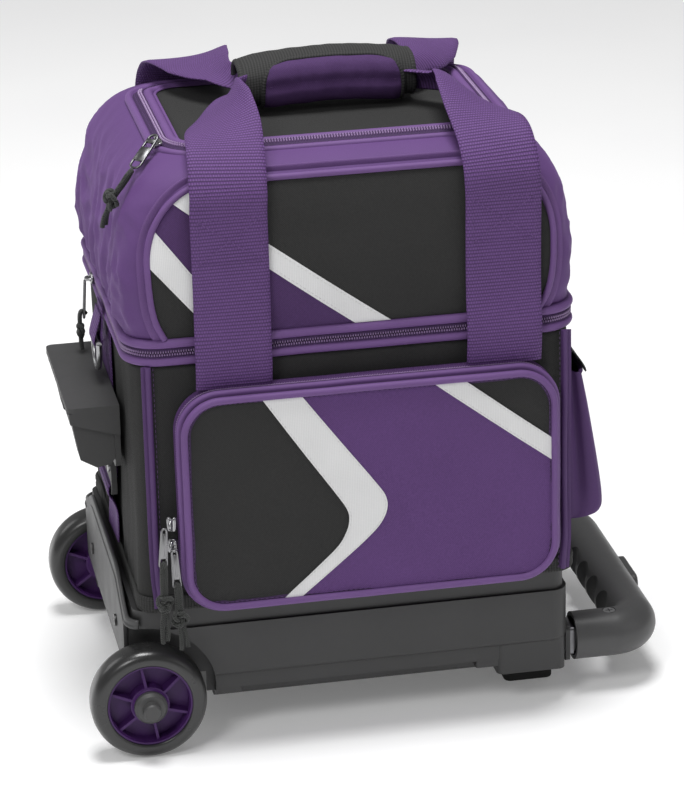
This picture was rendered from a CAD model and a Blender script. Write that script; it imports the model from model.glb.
"""Looks of the two-storey bowling ball bag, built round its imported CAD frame."""
import math

import bmesh
import bpy
import numpy as np
from mathutils import Matrix, Vector
from mathutils import noise as mnoise


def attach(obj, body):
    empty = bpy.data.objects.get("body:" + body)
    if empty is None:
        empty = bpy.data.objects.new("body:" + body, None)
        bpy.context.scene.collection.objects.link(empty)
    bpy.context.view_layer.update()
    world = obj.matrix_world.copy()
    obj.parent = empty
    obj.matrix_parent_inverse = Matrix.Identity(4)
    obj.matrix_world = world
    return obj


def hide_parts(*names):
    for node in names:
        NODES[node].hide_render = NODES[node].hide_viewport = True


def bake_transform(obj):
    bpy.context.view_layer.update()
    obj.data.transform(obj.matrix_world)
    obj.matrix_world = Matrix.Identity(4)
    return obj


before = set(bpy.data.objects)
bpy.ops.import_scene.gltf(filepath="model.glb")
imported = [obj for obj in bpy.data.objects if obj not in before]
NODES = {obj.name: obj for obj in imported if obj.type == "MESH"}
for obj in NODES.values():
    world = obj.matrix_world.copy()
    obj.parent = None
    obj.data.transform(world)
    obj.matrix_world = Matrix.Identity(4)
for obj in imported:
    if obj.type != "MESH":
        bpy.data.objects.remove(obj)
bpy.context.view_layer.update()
scene = bpy.context.scene

MM = 0.001
SH = np.array((-167.4, -123.75, 40.0))  # bag datum (front axle) to the row frame, mm
CX, CY = 149.5, 123.75


def W(p):
    """Points in the bag's datum, in mm, to the row frame in metres."""
    return (np.asarray(p, float) + SH) * MM


def V3(x, y, z):
    return Vector(W((x, y, z)))


# ------------------------------------------------------------------ camera and light
cam_data = bpy.data.cameras.new("camera")
cam = bpy.data.objects.new("camera", cam_data)
scene.collection.objects.link(cam)
right = Vector((0.98153328, -0.18972609, -0.02442188))
up = Vector((0.09071095, 0.34923581, 0.93263383))
fwd = Vector((0.16841597, 0.91762648, -0.35999681))
rot = Matrix((right, up, -fwd)).transposed()
cam.matrix_world = Matrix.Translation((-0.4217245, -2.2725246, 1.0883294)) @ rot.to_4x4()
cam_data.lens = 157.5
cam_data.sensor_width = 36.0
cam_data.sensor_fit = "AUTO"
cam_data.clip_end = 100
scene.camera = cam


def area_light(name, loc, aim, size, power, color=(1, 1, 1)):
    d = bpy.data.lights.new(name, "AREA")
    d.shape = "DISK"
    d.size = size
    d.energy = power
    d.color = color
    o = bpy.data.objects.new(name, d)
    scene.collection.objects.link(o)
    o.location = loc
    o.rotation_euler = (Vector(aim) - Vector(loc)).to_track_quat("-Z", "Y").to_euler()
    return o


area_light("key", (-1.5, -2.0, 2.4), (0, 0, 0.22), 1.0, 27)
area_light("fill", (2.2, -1.7, 1.3), (0, 0, 0.2), 1.8, 5)
area_light("top", (-0.1, -0.15, 2.6), (0, 0, 0.3), 1.1, 58)
area_light("rim", (-1.9, 1.7, 1.4), (0, 0, 0.25), 1.3, 8)

world = bpy.data.worlds.new("world")
scene.world = world
world.use_nodes = True
bg = world.node_tree.nodes.get("Background")
bg.inputs["Color"].default_value = (1, 1, 1, 1)
bg.inputs["Strength"].default_value = 0.25
scene.view_settings.view_transform = "Standard"
scene.view_settings.look = "None"
scene.view_settings.exposure = 0.0
scene.view_settings.gamma = 1.0


# ------------------------------------------------------------------ materials
class Mat:
    """A Principled material with small helpers for its node tree."""

    def __init__(self, name):
        self.m = bpy.data.materials.new(name)
        self.m.use_nodes = True
        self.nt = self.m.node_tree
        self.nt.nodes.clear()
        out = self.nt.nodes.new("ShaderNodeOutputMaterial")
        self.p = self.nt.nodes.new("ShaderNodeBsdfPrincipled")
        self.nt.links.new(self.p.outputs[0], out.inputs[0])
        self._uv = self._obj = None

    def put(self, sock, v):
        if isinstance(v, bpy.types.NodeSocket):
            self.nt.links.new(v, sock)
        elif isinstance(v, (tuple, list)) and len(v) == 3 and sock.type == "RGBA":
            sock.default_value = (*v, 1)
        else:
            sock.default_value = v

    def set(self, **kw):
        names = dict(rough="Roughness", metal="Metallic", sheen="Sheen Weight", sheen_rough="Sheen Roughness",
                     coat="Coat Weight", coat_rough="Coat Roughness", spec="Specular IOR Level", color="Base Color",
                     normal="Normal", sheen_tint="Sheen Tint", aniso="Anisotropic")
        for k, v in kw.items():
            self.put(self.p.inputs[names[k]], v)
        return self

    def math(self, op, a, b=None, c=None, clamp=False):
        n = self.nt.nodes.new("ShaderNodeMath")
        n.operation = op
        n.use_clamp = clamp
        for i, v in enumerate((a, b, c)):
            if v is not None:
                self.put(n.inputs[i], v)
        return n.outputs[0]

    def uv(self):
        if self._uv is None:
            tc = self.nt.nodes.new("ShaderNodeTexCoord")
            s = self.nt.nodes.new("ShaderNodeSeparateXYZ")
            self.nt.links.new(tc.outputs["UV"], s.inputs[0])
            self._uv = (s.outputs[0], s.outputs[1])
        return self._uv

    def obj(self):
        if self._obj is None:
            self._obj = self.nt.nodes.new("ShaderNodeTexCoord").outputs["Object"]
        return self._obj

    def noise(self, scale, detail=2.0, rough=0.5, vec=None):
        n = self.nt.nodes.new("ShaderNodeTexNoise")
        self.nt.links.new(vec or self.obj(), n.inputs["Vector"])
        n.inputs["Scale"].default_value = scale
        n.inputs["Detail"].default_value = detail
        n.inputs["Roughness"].default_value = rough
        return n.outputs[0]

    def voronoi(self, scale, vec=None):
        n = self.nt.nodes.new("ShaderNodeTexVoronoi")
        self.nt.links.new(vec or self.obj(), n.inputs["Vector"])
        n.inputs["Scale"].default_value = scale
        return n.outputs["Distance"]

    def sin(self, coord, period, phase=0.0):
        """0..1 wave of that period along a coordinate."""
        a = self.math("MULTIPLY_ADD", coord, 2 * math.pi / period, phase)
        return self.math("MULTIPLY_ADD", self.math("SINE", a), 0.5, 0.5)

    def span(self, v, a0, a1, b0, b1):
        n = self.nt.nodes.new("ShaderNodeMapRange")
        for i, x in enumerate((v, a0, a1, b0, b1)):
            self.put(n.inputs[i], x)
        return n.outputs[0]

    def mix(self, fac, a, b, blend="MIX"):
        n = self.nt.nodes.new("ShaderNodeMix")
        n.data_type = "RGBA"
        n.blend_type = blend
        self.put(n.inputs[0], fac)
        self.put(n.inputs[6], a)
        self.put(n.inputs[7], b)
        return n.outputs[2]

    def bump(self, height, dist, strength=1.0, normal=None):
        n = self.nt.nodes.new("ShaderNodeBump")
        self.put(n.inputs["Height"], height)
        n.inputs["Distance"].default_value = dist
        n.inputs["Strength"].default_value = strength
        if normal is not None:
            self.nt.links.new(normal, n.inputs["Normal"])
        return n.outputs[0]


def tint(c, k):
    return tuple(min(1.0, x * k) for x in c)


def fabric(name, col, pitch=1.05, contrast=0.30, rough=0.82, sheen=0.22, depth=0.14, fade=0.10, twill=0.5):
    """Woven polyester: crossing yarns with a faint twill diagonal, soft colour drift and fuzz."""
    m = Mat(name)
    u, v = m.uv()
    p = pitch * MM
    a, b = m.sin(u, p), m.sin(v, p)
    yarn = m.math("MULTIPLY", m.math("ABSOLUTE", m.math("SUBTRACT", a, b)), 1.0)
    diag = m.sin(m.math("ADD", u, v), p * 1.7)
    h = m.math("MULTIPLY_ADD", diag, twill, m.math("MULTIPLY", yarn, 1 - twill))
    drift = m.noise(14, 3)
    slub = m.noise(900, 1)
    h2 = m.math("MULTIPLY_ADD", slub, 0.35, m.math("MULTIPLY", h, 0.75))
    c = m.mix(m.span(h2, 0.15, 0.85, 0, 1), tint(col, 1 - contrast), tint(col, 1 + contrast))
    c = m.mix(m.span(drift, 0.3, 0.7, 0, fade), c, tint(col, 1.9))
    m.set(color=c, rough=m.span(h2, 0, 1, rough - 0.06, rough + 0.06), sheen=sheen, sheen_rough=0.45, spec=0.25,
          sheen_tint=(*tint(col, 3.5), 1), normal=m.bump(h2, depth * MM))
    return m.m


def webbing(name, col, row=2.35, colw=1.75, contrast=0.55, depth=0.55):
    """Heavy polypropylene webbing: rows of raised yarns across the strap, brick-offset."""
    m = Mat(name)
    u, v = m.uv()
    r, q = row * MM, colw * MM
    k = m.math("FLOOR", m.math("DIVIDE", v, r))
    ridge = m.math("ABSOLUTE", m.math("SINE", m.math("MULTIPLY", v, math.pi / r)))
    dots = m.math("SINE", m.math("MULTIPLY_ADD", k, math.pi, m.math("MULTIPLY", u, 2 * math.pi / q)))
    dots = m.math("MULTIPLY_ADD", dots, 0.5, 0.5)
    h = m.math("MULTIPLY", ridge, m.math("MULTIPLY_ADD", dots, 0.55, 0.45))
    n = m.noise(700, 2)
    h2 = m.math("MULTIPLY_ADD", n, 0.25, m.math("MULTIPLY", h, 0.85))
    c = m.mix(m.span(h2, 0.12, 0.95, 0, 1), tint(col, 1 - contrast), tint(col, 1 + contrast * 0.9))
    drift = m.noise(22, 2)
    c = m.mix(m.span(drift, 0.35, 0.75, 0, 0.10), c, tint(col, 1.8))
    m.set(color=c, rough=m.span(h2, 0, 1, 0.78, 0.58), sheen=0.18, sheen_rough=0.4, spec=0.32,
          sheen_tint=(*tint(col, 3.0), 1), normal=m.bump(h2, depth * MM))
    return m.m


def tape(name, col, period=0.95, along=0, contrast=0.35, depth=0.16, rough=0.7, sheen=0.2, herring=False):
    """Zip tape and binding: fine ribs along or across, or a herringbone."""
    m = Mat(name)
    u, v = m.uv()
    p = period * MM
    if herring:
        w = 3.4 * MM
        tri = m.math("PINGPONG", v, w)
        h = m.sin(m.math("ADD", u, m.math("MULTIPLY", tri, 1.1)), p * 1.6)
    else:
        h = m.sin((u, v)[along], p)
        h = m.math("MULTIPLY_ADD", m.sin((v, u)[along], p * 0.9), 0.3, m.math("MULTIPLY", h, 0.7))
    n = m.noise(800, 1)
    h2 = m.math("MULTIPLY_ADD", n, 0.25, m.math("MULTIPLY", h, 0.8))
    c = m.mix(m.span(h2, 0.1, 0.9, 0, 1), tint(col, 1 - contrast), tint(col, 1 + contrast))
    drift = m.noise(30, 2)
    c = m.mix(m.span(drift, 0.35, 0.75, 0, 0.12), c, tint(col, 1.7))
    m.set(color=c, rough=rough, sheen=sheen, sheen_rough=0.4, spec=0.3, sheen_tint=(*tint(col, 3.0), 1),
          normal=m.bump(h2, depth * MM))
    return m.m


def plastic(name, col, rough=0.5, grain=0.05, scale=1500, spec=0.45, drift=0.12, coat=0.0):
    """Moulded plastic: fine spark-eroded grain, slight gloss changes and handling haze."""
    m = Mat(name)
    g = m.voronoi(scale)
    n = m.noise(scale * 0.5, 2)
    h = m.math("MULTIPLY_ADD", n, 0.5, m.math("MULTIPLY", g, 0.5))
    haze = m.noise(28, 4, 0.6)
    fine = m.noise(160, 3, 0.6)
    c = m.mix(m.span(haze, 0.3, 0.7, 0, drift), col, tint(col, 1.7))
    c = m.mix(m.span(fine, 0.35, 0.65, 0, 0.10), c, tint(col, 0.6))
    m.set(color=c, rough=m.span(haze, 0.3, 0.7, rough - 0.05, rough + 0.07), spec=spec, coat=coat, coat_rough=0.25,
          normal=m.bump(h, grain * MM))
    return m.m


def metal(name, col, rough=0.3, scratch=0.02):
    m = Mat(name)
    n = m.noise(350, 4, 0.65)
    big = m.noise(60, 2)
    c = m.mix(m.span(big, 0.3, 0.7, 0, 0.35), col, tint(col, 0.7))
    m.set(color=c, metal=1.0, rough=m.span(n, 0.25, 0.75, rough - 0.08, rough + 0.12), normal=m.bump(n, scratch * MM))
    return m.m


PURPLE = (0.108, 0.050, 0.172)
PURPLE_L = (0.150, 0.074, 0.228)
PURPLE_D = (0.060, 0.026, 0.098)
BLACK = (0.0275, 0.0275, 0.0272)
WHITE = (0.66, 0.66, 0.663)

M_PURPLE = fabric("purple_oxford", tint(PURPLE, 0.90), 0.80, 0.45, sheen=0.16, depth=0.22, twill=0.4)
M_PURPLE_UP = fabric("purple_oxford_dark", tint(PURPLE, 0.60), 0.80, 0.45, sheen=0.12, depth=0.22, twill=0.4)
M_PURPLE_SOFT = fabric("purple_nylon", tint(PURPLE, 0.93), 0.62, 0.14, rough=0.66, sheen=0.18, depth=0.05, twill=0.35)
M_BLACK = fabric("black_oxford", tint(BLACK, 0.92), 0.85, 0.62, rough=0.84, sheen=0.08, depth=0.25, twill=0.45)
M_BLACK_RIB = tape("black_ribbed", tint(BLACK, 1.0), 2.0, 0, 0.5, 0.30, 0.8, 0.1)
M_LINING = fabric("grey_lining", (0.022, 0.022, 0.024), 0.7, 0.2, rough=0.6, sheen=0.1, depth=0.05)
M_WHITE = tape("white_rib", WHITE, 1.15, 0, 0.07, 0.13, 0.72, 0.1)
M_WEB = webbing("purple_webbing", (0.098, 0.044, 0.158))
M_SIDE = fabric("purple_nylon_side", tint(PURPLE, 0.74), 0.62, 0.14, rough=0.66, sheen=0.16, depth=0.05, twill=0.35)
M_WEB_D = webbing("purple_webbing_dark", (0.082, 0.036, 0.134))
M_TAPE = tape("purple_zip_tape", (0.105, 0.050, 0.166), 1.0, 1, 0.40, 0.20)
M_TAPE_D = tape("purple_zip_tape_dark", (0.040, 0.018, 0.064), 1.0, 1, 0.40, 0.20)
M_HERR = tape("purple_herringbone", (0.070, 0.030, 0.112), 1.0, 0, 0.5, 0.22, herring=True)
M_PIPE = tape("purple_piping", tint(PURPLE_L, 0.86), 0.8, 0, 0.13, 0.06, 0.60, 0.24)
M_PIPE_D = tape("purple_piping_dark", tint(PURPLE, 0.72), 0.8, 0, 0.15, 0.06, 0.62, 0.2)
M_TEETH = plastic("zip_coil", (0.235, 0.150, 0.300), 0.38, 0.02, 2200, 0.5)
M_THREAD = plastic("purple_thread", (0.135, 0.070, 0.200), 0.6, 0.05, 2600, 0.3)
M_THREAD_B = plastic("black_thread", (0.036, 0.036, 0.036), 0.6, 0.05, 2600, 0.3)
M_BASE = plastic("base_plastic", (0.031, 0.031, 0.0315), 0.46, 0.045, 1500, 0.42)
M_SKID = plastic("skid_plastic", (0.050, 0.050, 0.051), 0.50, 0.05, 1300, 0.45, 0.2)
M_GRAB = plastic("grab_plastic", (0.043, 0.043, 0.0435), 0.56, 0.055, 1300, 0.42)
M_GRIP = plastic("grip_plastic", (0.052, 0.052, 0.053), 0.40, 0.03, 1600, 0.5)
M_TYRE = plastic("tyre_polyurethane", (0.018, 0.018, 0.0182), 0.30, 0.025, 1200, 0.5, coat=0.15)
M_HUB = plastic("hub_plastic", (0.050, 0.014, 0.092), 0.46, 0.012, 1800, 0.28)
M_CAP = plastic("hub_cap_plastic", (0.048, 0.048, 0.0485), 0.42, 0.03, 1500, 0.45)
M_FOOT = plastic("foot_rubber", (0.020, 0.020, 0.020), 0.8, 0.09, 1000, 0.3)
M_BOARD = plastic("board", (0.030, 0.030, 0.031), 0.7, 0.08, 900, 0.3)
M_NICKEL = metal("nickel", (0.42, 0.42, 0.43), 0.26)
M_TAB = metal("pull_tab_metal", (0.26, 0.26, 0.265), 0.30)
M_PULL = metal("gun_metal", (0.15, 0.15, 0.155), 0.36)
M_STEEL = metal("steel", (0.42, 0.42, 0.43), 0.30)
M_SCREW = metal("dark_steel", (0.14, 0.14, 0.14), 0.38)
M_ALU = metal("anodised_tube", (0.20, 0.20, 0.21), 0.32)


def _foam():
    m = Mat("foam")
    n = m.voronoi(420)
    c = m.mix(m.span(n, 0.1, 0.7, 0, 1), (0.035, 0.035, 0.036), (0.055, 0.055, 0.056))
    m.set(color=c, rough=0.95, spec=0.15, normal=m.bump(n, 0.4 * MM))
    return m.m


def _cord():
    """Braided polyester cord: crossing helical carriers in object space."""
    m = Mat("braided_cord")
    s = m.nt.nodes.new("ShaderNodeSeparateXYZ")
    m.nt.links.new(m.obj(), s.inputs[0])
    x, z = m.math("ADD", s.outputs[0], s.outputs[1]), s.outputs[2]
    a = m.sin(m.math("ADD", x, z), 0.0017)
    b = m.sin(m.math("SUBTRACT", x, z), 0.0017)
    h = m.math("MAXIMUM", a, b)
    n = m.noise(1500, 2)
    h2 = m.math("MULTIPLY_ADD", n, 0.4, m.math("MULTIPLY", h, 0.6))
    c = m.mix(m.span(h2, 0.3, 0.95, 0, 1), (0.006, 0.0065, 0.006), (0.060, 0.063, 0.060))
    m.set(color=c, rough=0.85, sheen=0.15, spec=0.25, normal=m.bump(h2, 0.35 * MM))
    return m.m


M_FOAM, M_CORD = _foam(), _cord()


# ------------------------------------------------------------------ mesh helpers (points in mm in the bag's datum)
class Part:
    """Collects grids, tubes and small solids, and makes one object of them."""

    def __init__(self):
        self.v, self.f, self.uv, self.m = [], [], [], []

    def add(self, verts, faces, uvs=None, m=0):
        base = len(self.v)
        self.v.extend(tuple(map(float, p)) for p in verts)
        for k, face in enumerate(faces):
            self.f.append([base + i for i in face])
            self.m.append(m)
            self.uv.append(uvs[k] if uvs is not None else [(0.0, 0.0)] * len(face))

    def grid(self, P, cu=False, cv=False, m=0, flip=False, U=None, V=None):
        """A grid of points; cu and cv close it along its first and second index. UVs are lengths in metres."""
        P = np.asarray(P, float)
        nu, nv = P.shape[:2]
        if U is None:
            Q = np.concatenate([P, P[:1]]) if cu else P
            U = np.concatenate([[0], np.cumsum(np.linalg.norm(np.diff(Q, axis=0), axis=2).mean(1))]) * MM
        if V is None:
            Q = np.concatenate([P, P[:, :1]], axis=1) if cv else P
            V = np.concatenate([[0], np.cumsum(np.linalg.norm(np.diff(Q, axis=1), axis=2).mean(0))]) * MM
        faces, uvs = [], []
        for i in range(nu if cu else nu - 1):
            i2 = (i + 1) % nu
            for j in range(nv if cv else nv - 1):
                j2 = (j + 1) % nv
                q = [i * nv + j, i2 * nv + j, i2 * nv + j2, i * nv + j2]
                t = [(U[i], V[j]), (U[i + 1], V[j]), (U[i + 1], V[j + 1]), (U[i], V[j + 1])]
                if flip:
                    q.reverse()
                    t.reverse()
                faces.append(q)
                uvs.append(t)
        self.add(P.reshape(-1, 3), faces, uvs, m)

    def fan(self, ring, centre, m=0, flip=False):
        """Closes a ring of points with triangles to its centre."""
        ring = np.asarray(ring, float)
        n = len(ring)
        pts = np.vstack([ring, [centre]])
        faces = [[i, (i + 1) % n, n] for i in range(n)]
        c = np.asarray(centre, float)
        d = ring - c
        e1 = d[0] / max(np.linalg.norm(d[0]), 1e-9)
        nrm = np.cross(d[0], d[n // 4])
        nrm /= max(np.linalg.norm(nrm), 1e-9)
        e2 = np.cross(nrm, e1)
        uv = np.vstack([np.stack([d @ e1, d @ e2], 1), [[0, 0]]]) * MM
        uvs = [[tuple(uv[i]) for i in f] for f in faces]
        if flip:
            faces = [f[::-1] for f in faces]
            uvs = [u[::-1] for u in uvs]
        self.add(pts, faces, uvs, m)

    def tube(self, path, r, n=10, closed=False, m=0, cap=True, up=None, profile=None):
        """A tube along points; r is one radius or one for each point; profile is a ring of (a, b) in place of a circle."""
        path = np.asarray(path, float)
        N = len(path)
        r = np.full(N, float(r)) if np.isscalar(r) else np.asarray(r, float)
        T = np.gradient(path, axis=0) if not closed else np.roll(path, -1, 0) - np.roll(path, 1, 0)
        T /= np.linalg.norm(T, axis=1)[:, None]
        a = np.array(up if up is not None else (0, 0, 1.0), float)
        if up is None and abs(T[0] @ a) > 0.9:
            a = np.array((0, 1.0, 0))
        nrm = []
        prev = a - (a @ T[0]) * T[0]
        prev /= np.linalg.norm(prev)
        for k in range(N):
            v = (np.array(up, float) if up is not None else prev)
            v = v - (v @ T[k]) * T[k]
            if np.linalg.norm(v) < 1e-6:
                v = prev
            v = v / np.linalg.norm(v)
            nrm.append(v)
            prev = v
        nrm = np.array(nrm)
        bi = np.cross(T, nrm)
        if closed and up is None:  # spread the twist left at the seam
            pass
        if profile is None:
            ang = np.arange(n) * 2 * math.pi / n
            prof = np.stack([np.cos(ang), np.sin(ang)], 1)
        else:
            prof = np.asarray(profile, float)
        P = path[:, None] + r[:, None, None] * (prof[None, :, 0, None] * nrm[:, None] + prof[None, :, 1, None] * bi[:, None])
        self.grid(P, cu=closed, cv=True, m=m, flip=True)
        if cap and not closed:
            self.fan(P[0], path[0], m, flip=True)
            self.fan(P[-1], path[-1], m, flip=False)

    def stitches(self, path, nrm, pitch=3.4, length=2.3, rad=0.26, m=0, closed=False):
        """Sewn thread: short raised runs along a path."""
        path = np.asarray(path, float)
        nrm = np.asarray(nrm, float)
        if closed:
            path = np.vstack([path, path[:1]])
            nrm = np.vstack([nrm, nrm[:1]])
        s = np.concatenate([[0], np.cumsum(np.linalg.norm(np.diff(path, axis=0), axis=1))])
        k = max(1, int(s[-1] / pitch))
        step = s[-1] / k
        for i in range(k):
            ts = [(i + 0.5) * step - length / 2, (i + 0.5) * step, (i + 0.5) * step + length / 2]
            p = [np.array([np.interp(t, s, path[:, c]) for c in range(3)]) for t in ts]
            nn = np.array([np.interp(ts[1], s, nrm[:, c]) for c in range(3)])
            nn /= max(np.linalg.norm(nn), 1e-9)
            d = p[2] - p[0]
            b = np.cross(d / max(np.linalg.norm(d), 1e-9), nn)
            verts = [p[0] - nn * rad * 0.4, p[2] - nn * rad * 0.4]
            for q, w in ((p[0] * 0.72 + p[1] * 0.28, 0.85), (p[2] * 0.72 + p[1] * 0.28, 0.85)):
                verts += [q + nn * rad * w, q + b * rad * w, q - nn * rad * 0.3, q - b * rad * w]
            f = [[0, 2, 3], [0, 3, 4], [0, 4, 5], [0, 5, 2], [2, 6, 7, 3], [3, 7, 8, 4], [4, 8, 9, 5], [5, 9, 6, 2],
                 [1, 7, 6], [1, 8, 7], [1, 9, 8], [1, 6, 9]]
            self.add(verts, f, None, m)

    def teeth(self, path, nrm, axis_fn, pitch=1.55, size=(0.62, 1.5, 0.8), m=0, closed=True, phase=0.0):
        """A row of zip coils: each a small rounded block, proud of the tape along nrm, reaching along axis_fn."""
        path = np.asarray(path, float)
        nrm = np.asarray(nrm, float)
        ax = np.asarray(axis_fn, float)
        if closed:
            path, nrm, ax = (np.vstack([a, a[:1]]) for a in (path, nrm, ax))
        s = np.concatenate([[0], np.cumsum(np.linalg.norm(np.diff(path, axis=0), axis=1))])
        k = max(1, int(s[-1] / pitch))
        step = s[-1] / k
        lx, ly, lz = size
        for i in range(k):
            t = (i + phase) * step
            if t > s[-1]:
                continue
            c, n0, a0 = (np.array([np.interp(t, s, q[:, j]) for j in range(3)]) for q in (path, nrm, ax))
            t2 = np.array([np.interp(min(t + 0.5, s[-1]), s, path[:, j]) for j in range(3)])
            t1 = np.array([np.interp(max(t - 0.5, 0), s, path[:, j]) for j in range(3)])
            d = t2 - t1
            d /= max(np.linalg.norm(d), 1e-9)
            n0 /= np.linalg.norm(n0)
            a0 /= np.linalg.norm(a0)
            verts = []
            for sa in (-1, 1):
                for sd, sn in ((-1, 0), (-0.55, 1), (0.55, 1), (1, 0)):
                    k2 = 1.0 if sn == 0 else 0.8
                    verts.append(c + a0 * sa * ly / 2 * k2 + d * sd * lx / 2 + n0 * sn * lz)
            f = [[0, 1, 5, 4], [1, 2, 6, 5], [2, 3, 7, 6], [0, 3, 2, 1], [4, 5, 6, 7]]
            self.add(verts, f, None, m)

    def obj(self, name, mats, body=None, smooth=True, angle=None):
        me = bpy.data.meshes.new(name)
        me.from_pydata(W(self.v).tolist(), [], self.f)
        uvl = me.uv_layers.new(name="UVMap")
        flat = [c for face in self.uv for pt in face for c in pt]
        uvl.data.foreach_set("uv", flat)
        mats = mats if isinstance(mats, (list, tuple)) else [mats]
        for x in mats:
            me.materials.append(x)
        me.polygons.foreach_set("material_index", self.m)
        me.polygons.foreach_set("use_smooth", [smooth] * len(self.f))
        me.update()
        me.validate(clean_customdata=False)
        o = bpy.data.objects.new(name, me)
        scene.collection.objects.link(o)
        if angle is not None:
            sharp(o, angle)
        if body:
            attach(o, body)
        return o


def sharp(o, angle):
    """Marks edges sharper than the angle, so that shading keeps its creases."""
    bm = bmesh.new()
    bm.from_mesh(o.data)
    for e in bm.edges:
        if len(e.link_faces) == 2 and e.calc_face_angle(0) > math.radians(angle):
            e.smooth = False
    bm.to_mesh(o.data)
    bm.free()


def rrect(hx, hy, r, step=4.0, n=None):
    """A rounded rectangle about the origin, anticlockwise from the middle of its right side: points and outward normals.
    n = (side x, side y, corner) fixes the counts, so that rings of different sizes match."""
    if n is None:
        n = (max(2, round((2 * hx - 2 * r) / step)), max(2, round((2 * hy - 2 * r) / step)), max(4, round(r * math.pi / 2 / min(step, 2.6))))
    nx, ny, nc = n
    P, N = [], []

    def line(a, b, k, nr):
        for i in range(k):
            t = i / k
            P.append((a[0] + (b[0] - a[0]) * t, a[1] + (b[1] - a[1]) * t))
            N.append(nr)

    def arc(cx, cy, a0):
        for i in range(nc):
            a = a0 + math.pi / 2 * i / nc
            P.append((cx + r * math.cos(a), cy + r * math.sin(a)))
            N.append((math.cos(a), math.sin(a)))

    line((hx, -(hy - r)), (hx, hy - r), ny, (1, 0))
    arc(hx - r, hy - r, 0)
    line((hx - r, hy), (-(hx - r), hy), nx, (0, 1))
    arc(-(hx - r), hy - r, math.pi / 2)
    line((-hx, hy - r), (-hx, -(hy - r)), ny, (-1, 0))
    arc(-(hx - r), -(hy - r), math.pi)
    line((-(hx - r), -hy), (hx - r, -hy), nx, (0, -1))
    arc(hx - r, -(hy - r), -math.pi / 2)
    return np.array(P), np.array(N)


def ring_xy(hx, hy, r, z, step=4.0, n=None, c=(CX, CY)):
    """A level rounded-rectangle ring: points, outward normals, up vectors."""
    p, nn = rrect(hx, hy, r, step, n)
    k = len(p)
    P = np.column_stack([p[:, 0] + c[0], p[:, 1] + c[1], np.full(k, float(z))])
    return P, np.column_stack([nn, np.zeros(k)]), np.tile((0.0, 0.0, 1.0), (k, 1))


def ring_xz(hx, hz, r, y, c, step=4.0, n=None):
    """An upright ring facing the front: points, outward normals in its plane, and the front direction."""
    p, nn = rrect(hx, hz, r, step, n)
    k = len(p)
    P = np.column_stack([p[:, 0] + c[0], np.full(k, float(y)), p[:, 1] + c[1]])
    return P, np.column_stack([nn[:, 0], np.zeros(k), nn[:, 1]]), np.tile((0.0, -1.0, 0.0), (k, 1))


def sweep(P, A, B, prof):
    """Points of a profile of (a, b) swept along P, with a along A and b along B."""
    prof = np.asarray(prof, float)
    return P[:, None] + prof[None, :, 0, None] * A[:, None] + prof[None, :, 1, None] * B[:, None]


def arc_pts(ca, cb, r, a0, a1, k=7):
    """Points of an arc in a profile, angles in degrees."""
    return [(ca + r * math.cos(math.radians(a0 + (a1 - a0) * i / (k - 1))), cb + r * math.sin(math.radians(a0 + (a1 - a0) * i / (k - 1)))) for i in range(k)]


def noise3(x, y, z, s=1.0):
    return mnoise.noise(Vector((x * s, y * s, z * s)))


def wob(P, amp, scale, seed=0.0):
    """Small deterministic unevenness: moves points by smooth noise."""
    P = np.array(P, float)
    shape = P.shape
    Q = P.reshape(-1, 3)
    for i, p in enumerate(Q):
        v = mnoise.noise_vector(Vector((p[0] * scale + seed, p[1] * scale - seed, p[2] * scale + 2 * seed)))
        Q[i] = p + np.array(v) * amp
    return Q.reshape(shape)


def smooth_path(pts, k=8):
    """A smooth curve through points (Catmull-Rom), k steps a span."""
    p = np.asarray(pts, float)
    p = np.vstack([2 * p[0] - p[1], p, 2 * p[-1] - p[-2]])
    out = []
    for i in range(1, len(p) - 2):
        for j in range(k):
            t = j / k
            a, b, c, d = p[i - 1:i + 3]
            out.append(0.5 * ((2 * b) + (c - a) * t + (2 * a - 5 * b + 4 * c - d) * t * t + (3 * b - a - 3 * c + d) * t ** 3))
    out.append(p[-2])
    return np.array(out)


def chaikin(pts, n=2, closed=False):
    p = np.asarray(pts, float)
    for _ in range(n):
        q = np.roll(p, -1, 0) if closed else p[1:]
        a = p if closed else p[:-1]
        r = np.empty((2 * len(a), p.shape[1]))
        r[0::2], r[1::2] = a * 0.75 + q * 0.25, a * 0.25 + q * 0.75
        p = r if closed else np.vstack([p[:1], r, p[-1:]])
    return p


def resample(path, step):
    path = np.asarray(path, float)
    s = np.concatenate([[0], np.cumsum(np.linalg.norm(np.diff(path, axis=0), axis=1))])
    k = max(2, int(round(s[-1] / step)) + 1)
    t = np.linspace(0, s[-1], k)
    return np.column_stack([np.interp(t, s, path[:, c]) for c in range(path.shape[1])])


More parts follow.
